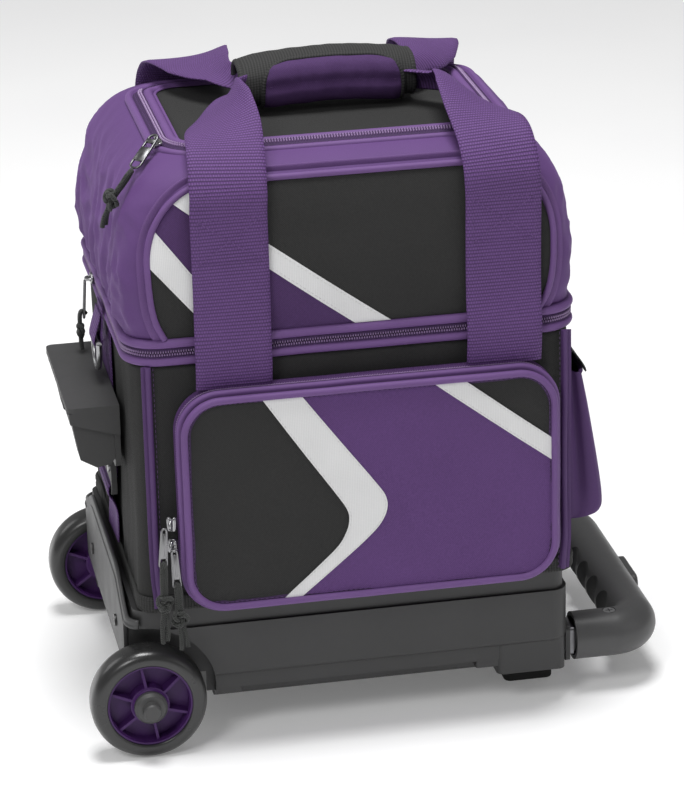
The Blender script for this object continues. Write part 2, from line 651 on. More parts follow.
def ribbon(part, C, Wd, width, thick, m=0, nw=9, edge=0.5, ends=True, curl=None):
    """A strap: C its centre line, Wd its width direction at each point; width may vary along it. UV v runs along it."""
    C = np.asarray(C, float)
    Wd = np.asarray(Wd, float)
    Wd /= np.linalg.norm(Wd, axis=1)[:, None]
    T = np.gradient(C, axis=0)
    T /= np.linalg.norm(T, axis=1)[:, None]
    Wd = Wd - (Wd * T).sum(1)[:, None] * T
    Wd /= np.linalg.norm(Wd, axis=1)[:, None]
    N = np.cross(T, Wd)
    k = len(C)
    width = np.full(k, float(width)) if np.isscalar(width) else np.asarray(width, float)
    curl = np.zeros(k) if curl is None else np.asarray(curl, float)
    ws = np.linspace(-1, 1, nw)
    prof = [(w, 1.0) for w in ws] + [(1.0 + 0.012, 0.0)] + [(w, -1.0) for w in ws[::-1]] + [(-1.0 - 0.012, 0.0)]
    P = np.empty((k, len(prof), 3))
    for j, (a, b) in enumerate(prof):
        e = 1 - edge * max(0.0, abs(a) - 0.9) / 0.1 * (1 if abs(b) > 0.5 else 0)
        off = b * thick / 2 * max(e, 0.3)
        P[:, j] = C + Wd * (width / 2 * a)[:, None] + N * (off + curl * (a * a - 0.33))[:, None]
    L = np.concatenate([[0], np.cumsum(np.linalg.norm(np.diff(C, axis=0), axis=1))]) * MM
    wuv = np.array([(a + 1) / 2 * 50.8 * MM for a, _ in prof] + [0.0])
    wuv[-1] = (prof[0][0] + 1) / 2 * 50.8 * MM - 0.0005
    # u across and v along, so the grid's own order is swapped in its UVs
    nv = len(prof)
    faces, uvs = [], []
    for i in range(k - 1):
        for j in range(nv):
            j2 = (j + 1) % nv
            faces.append([i * nv + j, i * nv + j2, (i + 1) * nv + j2, (i + 1) * nv + j])
            uvs.append([(wuv[j], L[i]), (wuv[j2], L[i]), (wuv[j2], L[i + 1]), (wuv[j], L[i + 1])])
    part.add(P.reshape(-1, 3), faces, uvs, m)
    if ends:
        for i, fl in ((0, False), (k - 1, True)):
            ring = P[i]
            for j in range(nw - 1):
                q = [ring[j], ring[j + 1], ring[nv - 3 - j], ring[nv - 2 - j]] if False else [ring[j], ring[j + 1], ring[2 * nw - 1 - j], ring[2 * nw - j]]
                part.add(q, [[0, 1, 2, 3] if fl else [3, 2, 1, 0]], None, m)
            part.add([ring[nw - 1], ring[nw], ring[nw + 1]], [[0, 1, 2] if fl else [2, 1, 0]], None, m)
            part.add([ring[2 * nw], ring[2 * nw + 1], ring[0]], [[0, 1, 2] if fl else [2, 1, 0]], None, m)
    return P


def weld(o, d=0.00001):
    bm = bmesh.new()
    bm.from_mesh(o.data)
    bmesh.ops.remove_doubles(bm, verts=bm.verts, dist=d)
    bmesh.ops.recalc_face_normals(bm, faces=bm.faces)
    bm.to_mesh(o.data)
    bm.free()
    return o


# ------------------------------------------------------------------ lower half: walls, hem, corner piping
def lower_sec(z):
    t = (z - 62.2) / (240.0 - 62.2)
    return 150.5, 119.5 + 2.0 * t, 10 + 12 * t


def shell_rings(zs, sec, n, inset=0.0, disp=None):
    rows = []
    for z in zs:
        hx, hy, r = sec(z)
        p, nn = rrect(hx - inset, hy - inset, max(r - inset, 2.0), n=n)
        P = np.column_stack([p[:, 0] + CX, p[:, 1] + CY, np.full(len(p), float(z))])
        if disp is not None:
            d = np.array([disp(q, m_) for q, m_ in zip(P, nn)])
            P[:, 0] += nn[:, 0] * d
            P[:, 1] += nn[:, 1] * d
        rows.append(P)
    return np.array(rows).transpose(1, 0, 2)  # around, then up


def low_disp(p, n):
    x, y, z = p
    t = (z - 62.2) / 177.8
    s = math.sin(math.pi * min(1, max(0, t)))
    side_l, side_r, back, front_ = max(0, -n[0]), max(0, n[0]), max(0, n[1]), max(0, -n[1])
    d = back * 2.6 * s * math.sin(math.pi * min(1, max(0, (x + 1) / 301)))
    d -= 1.3 * side_l * s * (1 if not 60 < y < 190 else 0.4)
    d += side_r * 0.4 * s
    # soft vertical buckles near the corners and a few slack dimples
    w = noise3(x * 0.045 + y * 0.045, 3.1, z * 0.010) + 0.5 * noise3(x * 0.09 + y * 0.09, 7.7, z * 0.024)
    d += w * (1.5 if front_ < 0.5 else 0.8)
    # sewn seam line of the corner piping pulls the cloth in
    for sx in (10.5, 293.5):
        for sy in (0.8, 246.7):
            q = math.hypot(x - sx, y - sy)
            if q < 16:
                d -= 0.9 * math.exp(-(q / 5.0) ** 2)
    if front_ > 0.5:
        d = min(d, 0.3)
    return d


NB = (66, 50, 12)
part = Part()
zs = np.concatenate([[62.6], np.linspace(66, 236, 40), [239.8]])
G = shell_rings(zs, lower_sec, NB, 0.0, low_disp)
part.grid(G, cu=True, m=0)
Gi = shell_rings(zs, lower_sec, NB, 3.4, None)
part.grid(Gi, cu=True, m=1, flip=True)
for a, b, fl in ((G[:, -1], Gi[:, -1], False), (G[:, 0], Gi[:, 0], True)):
    part.grid(np.stack([a, b], 1), cu=True, m=0, flip=fl)
lower = weld(part.obj("lower_walls", [M_BLACK, M_LINING], "root"))
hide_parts("lower_shell")

# hem binding that closes the walls over the base rim: a folded tape, slightly puckered, with two rows of stitches
part = Part()
P, A, B = ring_xy(150.9, 119.9, 10.6, 68.2, 3.0)
k = len(P)
prof = [(0.0, -5.6)] + arc_pts(0.2, -4.4, 1.5, -90, 0, 4) + [(1.9, -1.5), (1.5, 0.0), (1.9, 1.6)] + arc_pts(0.2, 4.0, 1.6, 0, 90, 5) + [(-0.2, 5.4)]
S = sweep(P, A, B, prof)
for i in range(k):
    w = 0.35 * noise3(P[i, 0] * 0.22, P[i, 1] * 0.22, 1.7) + 0.25 * noise3(P[i, 0] * 0.6, P[i, 1] * 0.6, 5.7)
    S[i] += A[i] * w
    S[i, :, 2] += 0.8 * noise3(P[i, 0] * 0.05, P[i, 1] * 0.05, 9.1)
part.grid(S, cu=True, m=0)
for dz in (-3.4, 3.6):
    part.stitches(P + A * 1.95 + B * dz, A, 3.2, 2.1, 0.28, 1, closed=True)
hem = part.obj("hem_binding", [M_BLACK_RIB, M_THREAD_B], "root")
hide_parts("hem_tape")

# vertical piping in the four corners, each with its flat seam flange
part = Part()
for x, y, sx, sy in ((10.5, 0.8, -1, -1), (293.5, 0.8, 1, -1), (10.5, 246.7, -1, 1), (293.5, 246.7, 1, 1)):
    zz = np.linspace(66.0, 240.5, 44)
    path = [(x + 0.8 * noise3(z * 0.013, x, 2.0) - sx * 1.6 * math.exp(-((z - 66) / 16.0) ** 2), y + 0.5 * noise3(z * 0.02, y, 4.0) - sy * 0.0, z) for z in zz]
    part.tube(path, 2.0, 10, m=0)
    path = np.array(path)
    C = path + np.array((-sx * 0.0, -sy * 1.2, 0))
    ribbon(part, C + np.array((sx * 1.2, 0, 0)), np.tile((1.0, 0.15 * sy * sx, 0), (len(C), 1)), 7.0, 1.0, m=0, nw=5)
    part.stitches(path + np.array((-sx * 3.4, sy * 0.15, 0)), np.tile((0, float(sy), 0), (len(path), 1)), 3.6, 2.3, 0.22, 1)
pip = part.obj("corner_piping", [M_PIPE_D, M_THREAD], "root")
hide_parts("lower_piping")


# ------------------------------------------------------------------ the zip between the two halves
def sag(P):
    """The band is cloth: it wanders a little up and down and in and out."""
    P = np.array(P, float)
    out = np.zeros((len(P), 3))
    for i, p in enumerate(P):
        a = noise3(p[0] * 0.016, p[1] * 0.016, 0.4)
        b = noise3(p[0] * 0.03, p[1] * 0.03, 6.4)
        out[i] = (0, 0, 0.35 * a)
        out[i, :2] = (p[:2] - (CX, CY)) / max(np.linalg.norm(p[:2] - (CX, CY)), 1) * 0.5 * b
    return out


RB, AB, BB = ring_xy(153.2, 123.6, 24.0, 0.0, 3.0)
off = sag(RB)


def band(name, profs, mats, body, node, teeth_z, stitch, tooth_phase):
    part = Part()
    for prof, mi in profs:
        S = sweep(RB, AB, BB, prof) + off[:, None] * 1.0
        part.grid(S, cu=True, m=mi)
    part.teeth(RB + AB * (-0.2) + BB * teeth_z + off, AB, BB, 1.7, (0.95, 1.55, 0.95), m=2, phase=tooth_phase)
    for a, z in stitch:
        part.stitches(RB + AB * a + BB * z + off, AB, 3.3, 2.2, 0.2, 3, closed=True)
    o = part.obj(name, mats, body)
    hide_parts(node)
    return o


lo_roll = [(-5.4, 240.3), (-1.5, 240.3)] + arc_pts(-1.3, 243.4, 3.0, -80, 62, 12) + [(-0.55, 246.35)]
lo_tape = [(-0.6, 246.3), (-0.1, 246.7), (0.12, 247.5), (-0.15, 248.35), (-0.9, 248.7), (-5.4, 249.0)]
lo_in = [(-5.4, 249.0), (-5.5, 245), (-5.4, 240.3)]
band("mid_zip_band_lower", [(lo_roll, 0), (lo_tape, 1), (lo_in, 4)], [M_PIPE, M_TAPE_D, M_TEETH, M_THREAD, M_LINING], "root", "mid_zip_lower", 248.55,
     [(-0.25, 246.7)], 0.0)
up_tape = [(-5.4, 250.1), (-0.9, 250.35), (-0.15, 250.7), (0.12, 251.6), (-0.1, 252.5), (-0.6, 252.8)]
up_roll = [(-0.55, 252.75)] + arc_pts(-1.0, 255.7, 3.0, -65, 78, 12) + [(-1.6, 258.8), (-5.4, 258.8)]
up_in = [(-5.4, 258.8), (-5.5, 254), (-5.4, 250.1)]
band("mid_zip_band_upper", [(up_tape, 1), (up_roll, 0), (up_in, 4)], [M_PIPE, M_TAPE_D, M_TEETH, M_THREAD, M_LINING], "upper_compartment", "mid_zip_upper", 250.55,
     [(-0.25, 252.4)], 0.5)

# ------------------------------------------------------------------ upper half
UP = np.array(((259.2, 151.5, 121.5, 22), (278, 154.2, 124.2, 24), (300, 155, 125, 26), (328, 150.5, 123.3, 31), (346, 146, 121.8, 35), (361, 136, 118.4, 37), (369, 126.5, 110, 38), (373.0, 119, 95, 37)))
UPS = chaikin(UP, 2)


def upper_sec(z):
    return tuple(float(np.interp(z, UPS[:, 0], UPS[:, c])) for c in (1, 2, 3))


def front_bulge(x, z):
    u = min(1, max(0, (x - 13.5) / 272))
    v = min(1, max(0, (z - 259) / 91))
    b = 1.1 * math.sin(math.pi * u) ** 0.7 * math.sin(math.pi * v) ** 0.8 if 0 < u < 1 and 0 < v < 1 else 0.0
    b += (0.7 * noise3(x * 0.02, 4.4, z * 0.022) + 0.35 * noise3(x * 0.05, 1.4, z * 0.06)) * math.sin(math.pi * u) * math.sin(math.pi * v)
    return b


def up_disp(p, n):
    x, y, z = p
    fr = max(0.0, -n[1])
    bk = max(0.0, n[1])
    lf, rt = max(0.0, -n[0]), max(0.0, n[0])
    top = min(1.0, max(0.0, (372 - z) / 30.0))
    bot = min(1.0, max(0.0, (z - 259.2) / 9.0))
    d = fr * front_bulge(x, z)
    side_w = (lf + rt) ** 1.5 * top * bot
    # slack vertical folds in the side gussets, gathered at the zip
    g = noise3(y * 0.050, x * 0.004 + 1.3, z * 0.0105)
    g2 = noise3(y * 0.110 + 3, x * 0.01, z * 0.020)
    fold = 1.0 - (abs(g) * 3.4) ** 0.8
    near = math.exp(-((z - 268) / 46.0) ** 2)
    g3 = noise3(y * 0.03 + z * 0.035, 5.5, (z - y) * 0.055)
    d += side_w * (2.7 * fold * (0.45 + near) + 1.0 * g2 + 1.5 * (0.4 - abs(g3) * 2.0))
    # a long diagonal drag line from the zip slider towards the front corner
    if lf > 0.3:
        e = (y - 18) - (z - 300) * 0.55
        d -= 1.5 * side_w * math.exp(-(e / 7.0) ** 2) * math.exp(-((z - 306) / 34.0) ** 2)
        e = (y - 58) - (z - 300) * 0.35
        d -= 1.3 * side_w * math.exp(-(e / 9.0) ** 2) * math.exp(-((z - 290) / 40.0) ** 2)
    d += bk * (2.0 * math.sin(math.pi * min(1, max(0, (x - 5) / 290))) * top * bot + 0.6 * noise3(x * 0.02, 8.0, z * 0.02))
    d += 0.35 * noise3(x * 0.09, y * 0.09, z * 0.09) * top
    d += fr * 0.9 * noise3(x * 0.03, 2.0, z * 0.05) * (1 if z > 350 else 0.0) * top
    return d


NU = (76, 70, 18)
zs_up = np.concatenate([[259.3, 261.0], np.linspace(264, 345, 36), np.linspace(347.5, 368, 12), [370.2, 371.8, 373.0]])
part = Part()
G = shell_rings(zs_up, upper_sec, NU, 0.0, up_disp)
# turn in over the flat top to the zip
fl = []
for hx, hy, r, z in ((117.6, 90.0, 36, 373.35), (115.6, 86.6, 33.5, 373.45), (113.6, 82.0, 29, 373.3), (113.4, 81.7, 28.6, 371.2)):
    p, _ = rrect(hx, hy, r, n=NU)
    fl.append(np.column_stack([p[:, 0] + CX, p[:, 1] + CY, np.full(len(p), z)]))
G = np.concatenate([G, np.array(fl).transpose(1, 0, 2)], axis=1)
part.grid(G, cu=True, m=0)
zi = np.concatenate([[259.4], np.linspace(264, 345, 14), np.linspace(350, 366, 5)])
Gi = shell_rings(zi, upper_sec, NU, 3.6, None)
last = []
for hx, hy, r, z in ((119.0, 92.0, 34, 369.0), (114.5, 84.0, 30, 370.2), (113.4, 81.7, 28.6, 370.6)):
    p, _ = rrect(hx, hy, r, n=NU)
    last.append(np.column_stack([p[:, 0] + CX, p[:, 1] + CY, np.full(len(p), z)]))
Gi = np.concatenate([Gi, np.array(last).transpose(1, 0, 2)], axis=1)
part.grid(Gi, cu=True, m=1, flip=True)
part.grid(np.stack([G[:, -1], Gi[:, -1]], 1), cu=True, m=0)
part.grid(np.stack([G[:, 0], Gi[:, 0]], 1), cu=True, m=0, flip=True)
upper = weld(part.obj("upper_walls", [M_PURPLE_SOFT, M_LINING], "upper_compartment"))
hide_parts("upper_shell")


# ---- flat panels laid on a wall, cut to an outline
def flat_patch(part, X, Z, clip, fn, off, base=None, m=0, flip=False, turn=0.0):
    """X and Z are grids in the panel's plane. fn(x, z, off) gives the point on the wall. base is the height that the cut edge goes down to."""
    X, Z = np.asarray(X, float), np.asarray(Z, float)
    bm = bmesh.new()
    vs = [[bm.verts.new((X[i, j], Z[i, j], 0)) for j in range(X.shape[1])] for i in range(X.shape[0])]
    for i in range(X.shape[0] - 1):
        for j in range(X.shape[1] - 1):
            bm.faces.new((vs[i][j], vs[i + 1][j], vs[i + 1][j + 1], vs[i][j + 1]))
    for (px, pz), (nx, nz) in clip:
        bmesh.ops.bisect_plane(bm, geom=bm.verts[:] + bm.edges[:] + bm.faces[:], dist=1e-3, plane_co=(px, pz, 0), plane_no=(nx, nz, 0), clear_outer=True)
    bm.normal_update()
    bm.faces.ensure_lookup_table()
    if len(bm.faces) and sum(f.normal.z * f.calc_area() for f in bm.faces) < 0:
        bmesh.ops.reverse_faces(bm, faces=bm.faces[:])
    bm.verts.index_update()
    co = [(v.co.x, v.co.y) for v in bm.verts]
    ca, sa = math.cos(turn), math.sin(turn)
    uv = [((x * ca + z * sa) * MM, (-x * sa + z * ca) * MM) for x, z in co]
    faces = [[v.index for v in f.verts] for f in bm.faces]
    top = [fn(x, z, off) for x, z in co]
    if flip:
        faces = [f[::-1] for f in faces]
    part.add(top, faces, [[uv[i] for i in f] for f in faces], m)
    if base is not None:
        for e in bm.edges:
            if len(e.link_faces) == 1:
                a, b = e.verts[0].index, e.verts[1].index
                lf = e.link_loops[0]
                if lf.vert.index != a:
                    a, b = b, a
                pts = [fn(*co[a], off), fn(*co[b], off), fn(*co[b], base), fn(*co[a], base)]
                q = [3, 2, 1, 0] if not flip else [0, 1, 2, 3]
                t = [uv[a], uv[b], (uv[b][0] + 0.0004, uv[b][1]), (uv[a][0] + 0.0004, uv[a][1])]
                part.add(pts, [q], [[t[i] for i in q]], m)
    bm.free()


def rr_clip(cx, cz, hx, hz, r, k=12):
    out = [((cx + hx, cz), (1, 0)), ((cx - hx, cz), (-1, 0)), ((cx, cz + hz), (0, 1)), ((cx, cz - hz), (0, -1))]
    for sx, sz in ((1, 1), (-1, 1), (-1, -1), (1, -1)):
        for i in range(1, k):
            a = math.pi / 2 * i / k
            nx, nz = sx * math.cos(a), sz * math.sin(a)
            out.append(((cx + sx * (hx - r) + nx * r, cz + sz * (hz - r) + nz * r), (nx, nz)))
    return out


def poly_clip(pts):
    """Half-planes of a convex outline given anticlockwise in (x, z)."""
    out = []
    for i in range(len(pts)):
        a, b = np.array(pts[i], float), np.array(pts[(i + 1) % len(pts)], float)
        d = b - a
        out.append((tuple(a), (d[1], -d[0])))
    return out


def gridxz(x0, x1, z0, z1, step=4.0):
    nx, nz = max(2, int((x1 - x0) / step)), max(2, int((z1 - z0) / step))
    return np.meshgrid(np.linspace(x0, x1, nx), np.linspace(z0, z1, nz), indexing="ij")


def between(e0, e1, n, k=4):
    """Grid between two edge lines of the same count: along, then across."""
    e0, e1 = resample_n(e0, n), resample_n(e1, n)
    t = np.linspace(0, 1, k)[None, :]
    return e0[:, 0:1] * (1 - t) + e1[:, 0:1] * t, e0[:, 1:2] * (1 - t) + e1[:, 1:2] * t


def resample_n(path, n):
    path = np.asarray(path, float)
    s = np.concatenate([[0], np.cumsum(np.linalg.norm(np.diff(path, axis=0), axis=1))])
    t = np.linspace(0, s[-1], n)
    return np.column_stack([np.interp(t, s, path[:, c]) for c in range(path.shape[1])])


def upf(x, z, o):
    """A point on the front wall of the upper half, o mm in front of it."""
    hx, hy, r = upper_sec(z)
    dx = abs(x - CX) - (hx - r)
    dy = 0.0 if dx <= 0 else r - math.sqrt(max(0.0, r * r - min(dx, r * 0.98) ** 2))
    nx, ny = (0.0, 1.0) if dx <= 0 else (min(dx, r * 0.98) / r, math.sqrt(1 - (min(dx, r * 0.98) / r) ** 2))
    d = ny * front_bulge(x, z)
    sx = 1 if x > CX else -1
    return (x + sx * nx * (d + o), CY - hy + dy - ny * (d + o) * (1.0), z)


def upb(x, z, o):
    """A point on the back wall of the upper half."""
    hx, hy, r = upper_sec(z)
    q = np.array((x, CY + hy, z))
    dx = abs(x - CX) - (hx - r)
    if dx > 0:
        q[1] -= r - math.sqrt(max(0.0, r * r - min(dx, r * 0.98) ** 2))
    n = (0.0, 1.0)
    return (x, q[1] + up_disp(q, n) + o, z)


arc_l = [(58 - 44.5 * math.cos(math.radians(a)), 309 + 53.8 * math.sin(math.radians(a))) for a in range(0, 91, 6)]
left_edge = [(22.5, 259.0), (18.0, 268.0), (15.2, 279.0), (13.8, 292.0)] + arc_l
right_edge = [(2 * CX - x, z) for x, z in left_edge]
outline = left_edge + right_edge[::-1]          # clockwise seen from the front
open_path = np.array(outline)
ccw = outline[::-1]
CLIP_UP = poly_clip(ccw)
part = Part()
X, Z = gridxz(10, 289, 256, 367, 3.0)
flat_patch(part, X, Z, CLIP_UP, upf, 0.45, 0.0, m=0)
X, Z = between([(-12, 376.8), (41.4, 304.3), (100, 225.0)], [(0.0, 376.6), (92.5, 303.9), (185, 232.2)], 44, 12)
flat_patch(part, X, Z, CLIP_UP, upf, 0.75, 0.3, m=1)
# lower-left stripe, then the long one
X, Z = between([(-25, 358.3), (11.5, 313.9), (40.4, 278.7), (80, 230.5)], [(-12.0, 376.6), (15.9, 338.8), (41.4, 304.3), (98, 227.8)], 46, 7)
flat_patch(part, X, Z, CLIP_UP, upf, 1.25, 0.5, m=2)
X, Z = between([(-5, 380.5), (42.3, 343.4), (92.5, 303.9), (185, 232.2)], [(14, 380.1), (43.0, 358.2), (93, 320.5), (205, 236.2)], 60, 6)
flat_patch(part, X, Z, CLIP_UP, upf, 1.25, 0.5, m=2)


def stitch_on(part, pts, fn, o, m, pitch=3.2, nrm=(0, -1, 0)):
    p = resample(np.array(pts, float), 3.0)
    keep = []
    for x, z in p:
        inside = all((x - a[0]) * n[0] + (z - a[1]) * n[1] < -4 * math.hypot(*n) for a, n in CLIP_NOW)
        keep.append(inside)
    run = []
    for ok, (x, z) in zip(keep, p):
        if ok:
            run.append(fn(x, z, o))
        elif len(run) > 2:
            part.stitches(run, np.tile(nrm, (len(run), 1)), pitch, pitch * 0.68, 0.2, m)
            run = []
        else:
            run = []
    if len(run) > 2:
        part.stitches(run, np.tile(nrm, (len(run), 1)), pitch, pitch * 0.68, 0.2, m)


M_THREAD_W = plastic("white_thread", (0.60, 0.60, 0.60), 0.6, 0.05, 2600, 0.3)
CLIP_NOW = CLIP_UP
for line in ([(11.5 + 2.0, 313.9), (40.4 + 2.0, 278.7), (56, 259.8)], [(15.9 - 1.6, 338.8), (41.4 - 1.6, 304.3), (73, 261)],
             [(42.3 + 1, 345.0), (92.5 + 1, 305.3), (149.6 + 1, 261.0)], [(43.0 - 1, 356.8), (93 - 1, 319.1), (173.3 - 1, 258.8)]):
    stitch_on(part, line, upf, 1.35, 3)
fpan = part.obj("front_panel_upper", [M_BLACK, M_PURPLE_UP, M_WHITE, M_THREAD_W], "upper_compartment")

# its piping, an arch that ends in the zip band, with the flange it is sewn by
part = Part()
pth = resample(chaikin(open_path, 1), 3.0)
P3 = np.array([upf(x, z, 1.4) for x, z in pth])
T2 = np.gradient(pth, axis=0)
T2 /= np.linalg.norm(T2, axis=1)[:, None]
out2 = np.column_stack([-T2[:, 1], T2[:, 0]])  # away from the panel
for i in range(len(P3)):
    P3[i, 1] += 0.12 * noise3(P3[i, 0] * 0.1, 3, P3[i, 2] * 0.1)
part.tube(P3, 2.15, 12, m=0)
FL = np.array([upf(x + o[0] * 3.6, z + o[1] * 3.6, 0.55) for (x, z), o in zip(pth, out2)])
Wd = np.array([(o[0], 0.0, o[1]) for o in out2])
ribbon(part, FL, Wd, 6.6, 0.9, m=0, nw=6)
FS = np.array([upf(x + o[0] * 4.6, z + o[1] * 4.6, 1.05) for (x, z), o in zip(pth, out2)])
part.stitches(FS, np.tile((0, -1.0, 0), (len(FS), 1)), 3.4, 2.3, 0.2, 1)
o = part.obj("front_piping_upper", [M_PIPE, M_THREAD], "upper_compartment")
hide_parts("upper_piping")

# plain black back panel with its seam
part = Part()
CLIP_BACK = poly_clip([(2 * CX - x, z) for x, z in outline])
X, Z = gridxz(10, 289, 256, 367, 4.0)
flat_patch(part, X, Z, poly_clip(ccw), upb, 0.6, 0.0, m=0, flip=True)
PB = np.array([upb(x, z, 1.2) for x, z in pth])
part.tube(PB, 2.0, 10, m=1)
o = part.obj("back_panel_upper", [M_BLACK, M_PIPE], "upper_compartment")

# ------------------------------------------------------------------ zip round the lid
RT, AT, BT = ring_xy(113.2, 81.2, 28.2, 0.0, 2.6)
part = Part()
# the back run is a plain cloth hinge: lower, and with no coil
HINGE = np.clip((RT[:, 1] - 186.0) / 12.0, 0, 1)
HINGE = HINGE * HINGE * (3 - 2 * HINGE)
TILT, TILT_A = BT * 0.87 + AT * 0.5, AT * 0.87 - BT * 0.5
RTO = RT - BT * (HINGE * 1.5)[:, None] + AT * (HINGE * 0.9)[:, None]
RTI = RT - BT * (HINGE * 1.2)[:, None] - AT * (HINGE * 1.0)[:, None]
_i0 = int(np.argmax(RT[:, 1] + 0.001 * RT[:, 0]))
_ord = np.roll(np.arange(len(RT)), -_i0)
RUN = np.array([i for i in _ord if HINGE[i] < 0.02])
_gap = int(np.argmax(np.linalg.norm(np.diff(RT[RUN], axis=0), axis=1)))
if np.linalg.norm(RT[RUN][_gap + 1] - RT[RUN][_gap]) > 12:
    RUN = np.roll(RUN, -(_gap + 1))
outer_roll = [(10.9, 371.6)] + arc_pts(8.3, 372.9, 2.6, 5, 160, 10) + [(5.6, 373.6)]
outer_tape = [(5.6, 373.6), (4.9, 373.9), (2.6, 375.3), (0.9, 376.25), (0.55, 376.1), (0.45, 373.4)]
part.grid(sweep(RTO, AT, BT, outer_roll), cu=True, m=0, flip=True)
part.grid(sweep(RTO, AT, BT, outer_tape), cu=True, m=2, flip=True)
part.stitches(RTO + AT * 4.0 + BT * 374.6, TILT, 3.3, 2.2, 0.2, 3, closed=True)
part.teeth((RT + AT * 1.1 + BT * 376.1)[RUN], TILT[RUN], TILT_A[RUN], 1.9, (1.15, 1.5, 0.95), m=1, closed=False)
o = part.obj("lid_zip_outer", [M_PIPE, M_TEETH, M_TAPE_D, M_THREAD], "upper_compartment")
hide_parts("top_zip_tape")

part = Part()
inner_tape = [(0.15, 372.5), (0.15, 376.3), (-0.3, 376.75), (-1.9, 377.3), (-2.3, 376.7)]
inner_roll = [(-2.3, 376.7)] + arc_pts(-5.3, 374.5, 3.3, 30, 175, 12) + [(-8.75, 374.3)]
part.grid(sweep(RTI, AT, BT, inner_tape), cu=True, m=1, flip=True)
part.grid(sweep(RTI, AT, BT, inner_roll), cu=True, m=0, flip=True)
seam_roll = arc_pts(-9.9, 374.5, 1.15, 10, 170, 6)
part.grid(sweep(RT, AT, BT, seam_roll), cu=True, m=0, flip=True)
part.teeth((RT + AT * (-0.4) + BT * 376.85)[RUN], TILT[RUN], TILT_A[RUN], 1.9, (1.15, 1.5, 0.95), m=2, closed=False, phase=0.5)
part.stitches(RTI + AT * (-1.75) + BT * 377.25, TILT, 3.3, 2.2, 0.2, 3, closed=True)
under = [(0.1, 372.5), (-9.9, 372.4)]
part.grid(sweep(RT, AT, BT, under), cu=True, m=4)
o = part.obj("lid_zip_inner", [M_PIPE, M_TAPE_D, M_TEETH, M_THREAD, M_LINING], "shoe_lid")

# the lid itself: cloth over foam board, a little crowned and rumpled
part = Part()


def lid_z(x, y):
    u, v = (x - CX) / 104.0, (y - CY) / 72.0
    e = max(0.0, 1 - max(abs(u), abs(v)) ** 4)
    return 374.2 + 0.9 * e + 0.5 * noise3(x * 0.018, y * 0.022, 3.3) * e + 0.22 * noise3(x * 0.06, y * 0.06, 1.3) * e


rings = []
for k2, s in enumerate(np.linspace(1.0, 0.06, 15)):
    hx, hy = 103.6 * s, 71.6 * s
    p, _ = rrect(hx, hy, max(19.0 * s, 0.8), n=(34, 24, 9))
    rings.append(np.array([(x + CX, y + CY, lid_z(x + CX, y + CY) if k2 else 373.9) for x, y in p]))
R3 = np.array(rings).transpose(1, 0, 2)
uvU = None
faces_part = Part()
faces_part.grid(R3, cu=True, m=0)
faces_part.fan(R3[:, -1], (CX, CY, lid_z(CX, CY)), 0)
low = []
for s in np.linspace(0.06, 1.0, 6):
    p, _ = rrect(103.8 * s, 71.8 * s, max(19.0 * s, 0.8), n=(34, 24, 9))
    low.append(np.column_stack([p[:, 0] + CX, p[:, 1] + CY, np.full(len(p), 371.2)]))
L3 = np.array(low).transpose(1, 0, 2)
faces_part.grid(L3, cu=True, m=1)
faces_part.fan(L3[:, 0], (CX, CY, 371.2), 1, flip=True)
faces_part.grid(np.stack([L3[:, -1], R3[:, 0]], 1), cu=True, m=0)
# flat UVs from above, so the weave runs straight
flatuv = []
for f in faces_part.f:
    flatuv.append([(faces_part.v[i][0] * MM, faces_part.v[i][1] * MM) for i in f])
faces_part.uv = flatuv
lid = weld(faces_part.obj("lid_panel", [M_BLACK, M_LINING], "shoe_lid"))
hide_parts("shoe_lid")


# ------------------------------------------------------------------ zip sliders and their tabs
def prism(part, O, U, V, N, pts, n0, n1, m=0, c=0.35):
    """A flat piece with a chamfered face: pts are (u, v), from height n0 to n1 along N."""
    O, U, V, N = (np.asarray(a, float) for a in (O, U, V, N))
    q = np.asarray(pts, float)
    cen = q.mean(0)
    d = q - cen
    ins = cen + d * (1 - c / np.maximum(np.linalg.norm(d, axis=1), 1.0))[:, None]
    rings = []
    for pp, n in ((ins, n0), (q, n0 + c * 0.7), (q, n1 - c * 0.7), (ins, n1)):
        rings.append(O + pp[:, 0:1] * U + pp[:, 1:2] * V + n * N)
    R3 = np.array(rings).transpose(1, 0, 2)
    part.grid(R3, cu=True, m=m)
    top = O + cen[0] * U + cen[1] * V
    part.fan(R3[:, -1], top + n1 * N, m)
    part.fan(R3[:, 0], top + n0 * N, m, flip=True)


def zip_slider(node, O, V, N, body, mat, k=1.0, reach=5.2):
    """O: middle of the slider's foot on the coil; V along the zip; N away from the tape."""
    V, N = np.asarray(V, float), np.asarray(N, float)
    U = np.cross(V, N)
    part = Part()
    foot = [(-2.3, -5.4), (2.3, -5.4), (3.0, -3.6), (3.1, 0), (3.4, 3.4), (2.6, 5.2), (1.0, 4.6), (0.0, 3.8), (-1.0, 4.6), (-2.6, 5.2), (-3.4, 3.4), (-3.1, 0), (-3.0, -3.6)]
    prism(part, O, U * k, V * k, N, foot, 0.2, 1.9, 0)
    for s in (-1, 1):
        rim = [(s * 3.0, -4.2), (s * 3.5, 3.2), (s * 2.9, 4.6), (s * 2.4, 3.0), (s * 2.3, -4.2)]
        prism(part, O, U * k, V * k, N, rim if s > 0 else rim[::-1], -1.3, 1.9, 0, 0.2)
    arch = smooth_path([O + V * k * v + N * n for v, n in ((-4.0, 1.5), (-3.8, 2.9), (-2.6, reach * 0.8), (-0.4, reach), (2.0, reach * 0.84), (3.2, 3.0), (3.4, 1.5))], 4)
    part.tube(arch, 1.0, m=0, up=tuple(U), profile=[(1.15 * math.cos(a), 0.62 * math.sin(a)) for a in np.linspace(0, 2 * math.pi, 11)[:-1]])
    o = weld(part.obj(node + "_metal", [mat], body))
    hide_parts(node)
    return o


